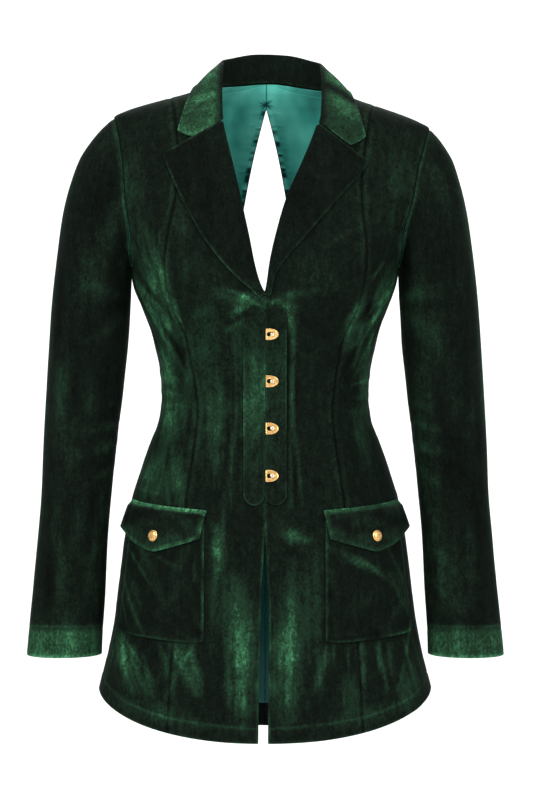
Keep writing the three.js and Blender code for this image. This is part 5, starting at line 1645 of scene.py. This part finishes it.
@dataclass
class Busk:
    """The corset busk: four brass loop plates on the right, hooked over four studs."""

    heights: tuple[float, ...] = (-278.5, -332.8, -388.0, -441.8)
    flat: float = 0.6
    shoulder: float = 4.6
    nose: float = 15.4
    half: float = 6.9
    hole: float = 2.6
    slot: float = 1.9
    thick: float = 1.2
    stud_along: float = 8.4
    neck: float = 1.45
    head: float = 2.8
    dome: float = 1.7
    lift: float = 4.0
    seat: float = 2.6
    around: int = 96

    def plate_outline(self) -> Array:
        """Gives the plate's outer outline: flat at the centre front, round at the nose."""
        bend = np.linspace(0, 1, 40)[:, None]
        corner = [np.array(p) for p in (
            (self.shoulder, -self.half), (self.shoulder + 6, -self.half),
            (self.nose, -self.half + 3), (self.nose, 0.0),
        )]
        weights = ((1 - bend) ** 3, 3 * bend * (1 - bend) ** 2, 3 * bend**2 * (1 - bend), bend**3)
        lower = sum(w * p for w, p in zip(weights, corner))
        upper = lower[::-1] * np.array([1.0, -1.0])
        along = np.linspace(-self.half, self.half, 24)[:, None]
        flat = along * np.array([[0.0, 1.0]]) + np.array([[self.flat, 0.0]])
        base = np.array([[mix(self.flat, self.shoulder, t), -self.half] for t in np.linspace(0, 1, 8)])
        return np.concatenate([base, lower, upper, (base * np.array([1.0, -1.0]))[::-1], flat[::-1]])

    def keyhole_outline(self) -> Array:
        """Gives the keyhole: a round eye that runs into a slot."""
        opening = math.asin(self.slot / self.hole)
        eye = np.linspace(opening, 2 * math.pi - opening, 60)
        end = np.linspace(-math.pi / 2, math.pi / 2, 40)
        round_eye = np.stack([self.shoulder + self.hole * np.cos(eye), self.hole * np.sin(eye)], axis=1)
        round_end = np.stack([self.stud_along + self.slot * np.cos(end), self.slot * np.sin(end)], axis=1)
        return np.concatenate([round_eye, round_end])

    @staticmethod
    def reach(outline: Array, middle: float, turn: Array) -> Array:
        """Gives the distance from a middle point to an outline in each direction."""
        dx, dy = outline[:, 0] - middle, outline[:, 1]
        at = np.arctan2(dy, dx)
        order = np.argsort(at)
        return np.interp(turn, at[order], np.hypot(dx, dy)[order], period=2 * math.pi)

    def plate(self) -> tuple[Array, list[tuple[int, ...]]]:
        """Makes the plate with softened edges, flat on its own plane."""
        turn = np.linspace(-math.pi, math.pi, self.around, endpoint=False)
        middle = 6.2
        outer = self.reach(self.plate_outline(), middle, turn)
        inner = self.reach(self.keyhole_outline(), middle, turn)
        section = ((0, 0), (0, 0.62), (0.1, 0.9), (0.26, 1), (0.74, 1), (0.9, 0.9), (1, 0.62), (1, 0))
        local = []
        for share, high in section:
            radius = mix(outer, inner, share)
            x, y = middle + radius * np.cos(turn), radius * np.sin(turn)
            local.append(np.stack([x, y, np.full_like(x, high * self.thick)], axis=-1))
        index = np.arange(len(section) * self.around).reshape(len(section), self.around)
        faces = []
        for low, high in zip(index, np.roll(index, -1, axis=0)):
            faces += np.stack([low, np.roll(low, -1), np.roll(high, -1), high], axis=1).tolist()
        return np.concatenate(local), faces

    def spot(self, x: float, z: float) -> Grid:
        """Gives the place and the axes of a busk part on the right front."""
        points, normals = SHAPE.spot(SHAPE.angle(np.array([x]), z), np.array([z]), self.lift, fine=False)
        return points[0], frame_towards(normals[0])

    def build(self, finish: Finishes) -> None:
        """Builds the loops and the studs."""
        local, faces = self.plate()
        middle = (self.flat + self.nose) / 2
        foot = self.seat + TRIM_CLOTH / 2 + SEAM_GAP - self.lift
        under = self.thick + SEAM_GAP
        head, dome = self.head, self.dome
        profile = [
            (0.0, foot), (self.neck, foot), (self.neck, under - 0.15), (head * 0.8, under),
            (head * 0.97, under + 0.12), (head, under + 0.4), (head * 0.93, under + dome * 0.55),
            (head * 0.74, under + dome * 0.8), (head * 0.45, under + dome * 0.95), (head * 0.2, under + dome),
            (0.0, under + dome),
        ]
        for number, z in enumerate(self.heights, start=1):
            at, axes = self.spot(middle, z)
            points = at + (local - np.array([middle, 0, 0])) @ axes
            mesh = Mesh(points, faces, [0] * len(faces), np.zeros(len(points)))
            Piece.metal(Piece.add(f"brass_busk_loop_{number}", mesh, [finish.brass]), f"busk_loop_{number}")
            at, axes = self.spot(self.stud_along, z)
            stud = Piece.add(f"brass_busk_stud_{number}", lathe(profile, at, axes[2], 32), [finish.pearl])
            Piece.metal(stud, f"busk_stud_{number}")


# Finishes


def linear(code: str, alpha: float = 1.0) -> tuple[float, float, float, float]:
    """Turns an sRGB hex code into linear red, green, blue and alpha."""
    parts = [int(code[i:i + 2], 16) / 255 for i in (1, 3, 5)]
    red, green, blue = (p / 12.92 if p <= 0.04045 else ((p + 0.055) / 1.055) ** 2.4 for p in parts)
    return red, green, blue, alpha


def add_node(
    tree: bpy.types.NodeTree,
    kind: str,
    settings: dict[str, object] | None = None,
    values: dict[str | int, object] | None = None,
    links: dict[str | int, bpy.types.NodeSocket] | None = None,
) -> bpy.types.Node:
    """Adds one node.

    Args:
        tree: the node tree.
        kind: the node's type.
        settings: its own properties.
        values: fixed values of its inputs.
        links: output sockets to join to its inputs.

    Returns:
        The new node.
    """
    node = tree.nodes.new(kind)
    for key, value in (settings or {}).items():
        setattr(node, key, value)
    for key, value in (values or {}).items():
        node.inputs[key].default_value = value
    for key, socket in (links or {}).items():
        tree.links.new(socket, node.inputs[key])
    return node


def add_ramp(
    tree: bpy.types.NodeTree, factor: bpy.types.NodeSocket, stops: Sequence[tuple[float, str]]
) -> bpy.types.Node:
    """Adds a colour ramp through hex colours at rising positions."""
    ramp = add_node(tree, "ShaderNodeValToRGB", links={"Fac": factor})
    elements = ramp.color_ramp.elements
    while len(elements) < len(stops):
        elements.new(0.5)
    for element, (position, code) in zip(elements, stops):
        element.position = position
        element.color = linear(code)
    return ramp


def new_material(name: str) -> tuple[bpy.types.Material, bpy.types.NodeTree]:
    """Makes a material with an empty node tree."""
    material = bpy.data.materials.new(name)
    material.use_nodes = True
    material.node_tree.nodes.clear()
    return material, material.node_tree


def finish_surface(
    tree: bpy.types.NodeTree, values: dict[str, object], links: dict[str, bpy.types.NodeSocket]
) -> None:
    """Ends a tree with a Principled surface."""
    surface = add_node(tree, "ShaderNodeBsdfPrincipled", values=values, links=links)
    add_node(tree, "ShaderNodeOutputMaterial", links={"Surface": surface.outputs["BSDF"]})


def stretched(tree: bpy.types.NodeTree, size: tuple[float, float, float]) -> bpy.types.NodeSocket:
    """Gives object coordinates in which one unit is a cell of that size in millimetres."""
    place = add_node(tree, "ShaderNodeTexCoord")
    scale = tuple(1 / (part * MM) for part in size)
    mapped = add_node(
        tree, "ShaderNodeMapping", values={"Scale": scale}, links={"Vector": place.outputs["Object"]}
    )
    return mapped.outputs["Vector"]


def noise(
    tree: bpy.types.NodeTree, size: tuple[float, float, float], detail: float = 3.0
) -> bpy.types.NodeSocket:
    """Adds an uneven pattern with cells of that size in millimetres."""
    node = add_node(
        tree, "ShaderNodeTexNoise", values={"Scale": 1.0, "Detail": detail, "Roughness": 0.6},
        links={"Vector": stretched(tree, size)},
    )
    return node.outputs["Fac"]


def weighted(
    tree: bpy.types.NodeTree, start: bpy.types.NodeSocket, terms: Sequence[tuple[bpy.types.NodeSocket, float]]
) -> bpy.types.NodeSocket:
    """Adds patterns to a value, each centred on zero and with its own weight."""
    total = start
    for socket, weight in terms:
        centred = add_node(tree, "ShaderNodeMath", {"operation": "SUBTRACT"}, {1: 0.5}, {0: socket})
        links = {0: centred.outputs[0], 2: total}
        node = add_node(tree, "ShaderNodeMath", {"operation": "MULTIPLY_ADD"}, {1: weight}, links)
        total = node.outputs[0]
    return total


@dataclass(frozen=True)
class SilkVelvet:
    """Crushed green velvet."""

    darkest: str = "#020403"
    dark: str = "#080f0a"
    middle: str = "#14291b"
    light: str = "#264e34"
    lightest: str = "#46805c"

    def build(self) -> bpy.types.Material:
        """Makes the material. It gives the eye pile near black face on, and a painted green sheen where the
        per-point painted light is high.
        """
        material, tree = new_material("Green velvet")
        # Per-point painted sheen and shade from the pieces.
        painted_light = add_node(tree, "ShaderNodeAttribute", {"attribute_name": "painted_light"}).outputs["Fac"]
        streaks = noise(tree, (5.0, 5.0, 30.0), 4.0)
        mottle = noise(tree, (9.0, 9.0, 12.0), 6.0)
        crush = noise(tree, (2.6, 2.6, 3.8), 4.0)
        grain = noise(tree, (1.5, 1.5, 2.2), 2.0)
        broad = noise(tree, (70.0, 70.0, 110.0), 2.0)
        lit = add_node(tree, "ShaderNodeMath", {"operation": "MULTIPLY_ADD"}, {1: 0.85, 2: 0.12}, {0: painted_light})
        terms = ((streaks, 0.8), (mottle, 1.1), (crush, 1.4), (grain, 0.9), (broad, 0.4))
        patterned = weighted(tree, painted_light, terms)
        calmed = add_node(
            tree, "ShaderNodeMix", {"data_type": "FLOAT"}, {}, {0: lit.outputs[0], 2: painted_light, 3: patterned}
        )
        stops = (
            (0.0, self.darkest), (0.14, self.dark), (0.42, self.middle),
            (0.72, self.light), (1.0, self.lightest),
        )
        colour = add_ramp(tree, calmed.outputs[0], stops)
        pile = noise(tree, (0.5, 0.5, 0.7), 2.0)
        soft = weighted(tree, pile, ((crush, 1.4), (mottle, 1.8)))
        bump = add_node(
            tree, "ShaderNodeBump", values={"Strength": 0.22, "Distance": 0.5 * MM}, links={"Height": soft}
        )
        values = {
            "Roughness": 0.9, "IOR": 1.45, "Specular IOR Level": 0.04,
            "Sheen Weight": 0.05, "Sheen Roughness": 0.3, "Sheen Tint": linear("#79b592"),
        }
        links = {"Base Color": colour.outputs["Color"], "Normal": bump.outputs["Normal"]}
        finish_surface(tree, values, links)
        return material


@dataclass(frozen=True)
class TealSatin:
    """Teal lining satin."""

    # The darkest stop, which the painted shade reaches at seams, in the gathers and deep inside the jacket.
    seam: str = "#0a2a29"
    deep: str = "#2f8176"
    light: str = "#58b0a2"

    def build(self) -> bpy.types.Material:
        """Makes the material. It gives the eye a smooth cloth with long soft highlights across its folds,
        darkened by the per-point painted shade.
        """
        material, tree = new_material("Teal satin")
        # Per-point painted shade from the lining.
        painted_shade = add_node(tree, "ShaderNodeAttribute", {"attribute_name": "painted_light"}).outputs["Fac"]
        cloud = noise(tree, (45.0, 45.0, 80.0), 2.0)
        shade = add_node(tree, "ShaderNodeMath", {"operation": "SUBTRACT"}, {}, {0: cloud, 1: painted_shade})
        tone = add_ramp(tree, shade.outputs[0], ((0.0, self.seam), (0.34, self.deep), (0.68, self.light)))
        weave = noise(tree, (0.25, 0.25, 3.0), 1.0)
        waves = noise(tree, (14.0, 14.0, 40.0), 1.0)
        height = weighted(tree, weave, ((waves, 5.0),))
        bump = add_node(
            tree, "ShaderNodeBump", values={"Strength": 0.25, "Distance": 0.4 * MM}, links={"Height": height}
        )
        values = {
            "Roughness": 0.4, "IOR": 1.5, "Specular IOR Level": 0.2, "Specular Tint": linear("#9fe0d6"),
            "Anisotropic": 0.45, "Sheen Weight": 0.04, "Sheen Tint": linear("#8fd0c4"),
        }
        finish_surface(tree, values, {"Base Color": tone.outputs["Color"], "Normal": bump.outputs["Normal"]})
        return material


@dataclass(frozen=True)
class Metal:
    """A polished metal with faint rub marks."""

    name: str
    colour: str
    worn: str
    low: float
    high: float

    def build(self) -> bpy.types.Material:
        """Makes the material. It gives the eye bright edges and a soft reflection that varies with wear."""
        material, tree = new_material(self.name)
        marks = noise(tree, (1.6, 1.6, 1.6), 4.0)
        tone = add_ramp(tree, marks, ((0.3, self.worn), (0.62, self.colour)))
        rough = add_node(
            tree, "ShaderNodeMapRange", values={"To Min": self.low, "To Max": self.high},
            links={"Value": marks},
        )
        bump = add_node(
            tree, "ShaderNodeBump", values={"Strength": 0.08, "Distance": 0.1 * MM}, links={"Height": marks}
        )
        links = {
            "Base Color": tone.outputs["Color"],
            "Roughness": rough.outputs["Result"],
            "Normal": bump.outputs["Normal"],
        }
        finish_surface(tree, {"Metallic": 1.0}, links)
        return material


@dataclass(frozen=True)
class StudioPaper:
    """White seamless paper."""

    colour: str = "#f7f7f7"

    def build(self) -> bpy.types.Material:
        """Makes the material. It gives the eye an even white ground."""
        material, tree = new_material("Studio paper")
        tone = add_ramp(tree, noise(tree, (400.0, 400.0, 400.0)), ((0.3, "#f3f3f3"), (0.7, self.colour)))
        links = {"Base Color": tone.outputs["Color"]}
        finish_surface(tree, {"Roughness": 0.9, "Specular IOR Level": 0.1}, links)
        return material


class Finishes:
    """The materials that the pieces share."""

    def __init__(self) -> None:
        """Makes every material once."""
        self.velvet = SilkVelvet().build()
        self.satin = TealSatin().build()
        self.brass = Metal("Polished brass", "#dab274", "#a87c46", 0.22, 0.38).build()
        self.pearl = Metal("Pale brass", "#dcc4a4", "#a98a6a", 0.2, 0.34).build()
        self.paper = StudioPaper().build()


# The studio


@dataclass(frozen=True)
class SoftLight:
    """A soft box: where it stands, what it faces, its size in metres and its power in watts."""

    name: str
    at: tuple[float, float, float]
    towards: tuple[float, float, float]
    size: float
    power: float

    def build(self) -> None:
        """Adds the light to the scene."""
        data = bpy.data.lights.new(self.name, "AREA")
        data.shape = "DISK"
        data.size = self.size
        data.energy = self.power
        light = bpy.data.objects.new(self.name, data)
        light.location = self.at
        aim = Vector(self.towards) - Vector(self.at)
        light.rotation_euler = aim.to_track_quat("-Z", "Y").to_euler()
        bpy.context.scene.collection.objects.link(light)


@dataclass
class Studio:
    """White paper sweep, soft boxes and the camera."""

    floor_z: float = -1.3
    back_y: float = 9.5
    half_width: float = 10.0
    front_y: float = -10.0
    top_z: float = 5.0
    bend: float = 0.9
    lights: tuple[SoftLight, ...] = (
        SoftLight("Key", (-1.7, -2.6, 1.1), (0.0, 0.0, -0.35), 1.6, 90.0),
        SoftLight("Fill", (1.9, -2.4, 0.5), (0.0, 0.0, -0.4), 1.8, 60.0),
        SoftLight("Top", (0.0, -0.4, 2.2), (0.0, 0.0, -0.3), 1.6, 45.0),
        SoftLight("Back", (0.0, 1.9, 1.5), (0.0, 0.0, -0.3), 1.6, 40.0),
        SoftLight("Backdrop", (0.0, 4.6, 3.4), (0.0, 9.5, -0.4), 3.0, 150.0),
    )

    def sweep(self, finish: Finishes) -> None:
        """Adds the paper: a floor that curves up into a backdrop."""
        turn = np.linspace(0, math.pi / 2, 17)
        curved = self.back_y - self.bend + self.bend * np.sin(turn)
        y = np.concatenate([[self.front_y], curved, [self.back_y]])
        z = np.concatenate([[self.floor_z], self.floor_z + self.bend * (1 - np.cos(turn)), [self.top_z]])
        points = [(x, float(b), float(c)) for b, c in zip(y, z) for x in (-self.half_width, self.half_width)]
        faces = [(2 * i, 2 * i + 1, 2 * i + 3, 2 * i + 2) for i in range(len(y) - 1)]
        data = bpy.data.meshes.new("paper_sweep")
        data.from_pydata(points, [], faces)
        data.materials.append(finish.paper)
        data.polygons.foreach_set("use_smooth", np.ones(len(data.polygons), dtype=bool))
        paper = bpy.data.objects.new("paper_sweep", data)
        bpy.context.scene.collection.objects.link(paper)
        paper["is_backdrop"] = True

    def camera(self) -> None:
        """Adds the camera, level with the middle of the jacket and straight in front of it."""
        data = bpy.data.cameras.new("camera")
        data.lens = 183.8
        data.sensor_width = 36.0
        camera = bpy.data.objects.new("camera", data)
        camera.location = (0.0017, -4.75, -0.3547)
        camera.rotation_euler = (math.pi / 2, 0.0, 0.0)
        bpy.context.scene.collection.objects.link(camera)
        bpy.context.scene.camera = camera

    def build(self, finish: Finishes) -> None:
        """Builds the studio round the jacket."""
        self.sweep(finish)
        for light in self.lights:
            light.build()
        world = bpy.data.worlds.new("studio")
        world.use_nodes = True
        world.node_tree.nodes.clear()
        values = {"Color": linear("#ffffff"), "Strength": 0.9}
        sky = add_node(world.node_tree, "ShaderNodeBackground", values=values)
        add_node(world.node_tree, "ShaderNodeOutputWorld", links={"Surface": sky.outputs["Background"]})
        bpy.context.scene.world = world
        bpy.context.scene.view_settings.view_transform = "Standard"
        self.camera()


def note_size(sizes: dict[str, list[list[float]]], name: str) -> None:
    """Notes the lowest and highest corner of what is shown, in metres."""
    sizes[name] = [[round(float(value), 6) for value in corner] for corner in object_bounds()]


def main() -> None:
    """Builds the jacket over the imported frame, and the studio round it."""
    logging.basicConfig(level=logging.INFO, format="%(message)s")
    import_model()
    sizes: dict[str, list[list[float]]] = {}
    note_size(sizes, "start")
    finish = Finishes()
    parts: tuple[tuple[str, Callable[[Side], None]], ...] = (
        ("body panels", lambda side: BodyPanels().build(side, finish)),
        ("sleeve", lambda side: Sleeves().build(side, finish)),
        ("collar", lambda side: Collar().build(side, finish)),
        ("lapel", lambda side: Lapels().build(side, finish)),
        ("back lining", lambda side: BackLining().build(side, finish)),
        ("busk panel", lambda side: BuskPanels().build(side, finish)),
        ("pocket, flap and snap", lambda side: Pockets().build(side, finish)),
    )
    for name, build in parts:
        for side in Side:
            build(side)
            LOG.info("built the %s on the %s", name, side.value)
    Busk().build(finish)
    LOG.info("built the busk's loops and studs")
    Studio().build(finish)
    LOG.info("built the studio")
    note_size(sizes, "end")


if __name__ == "__main__":
    main()
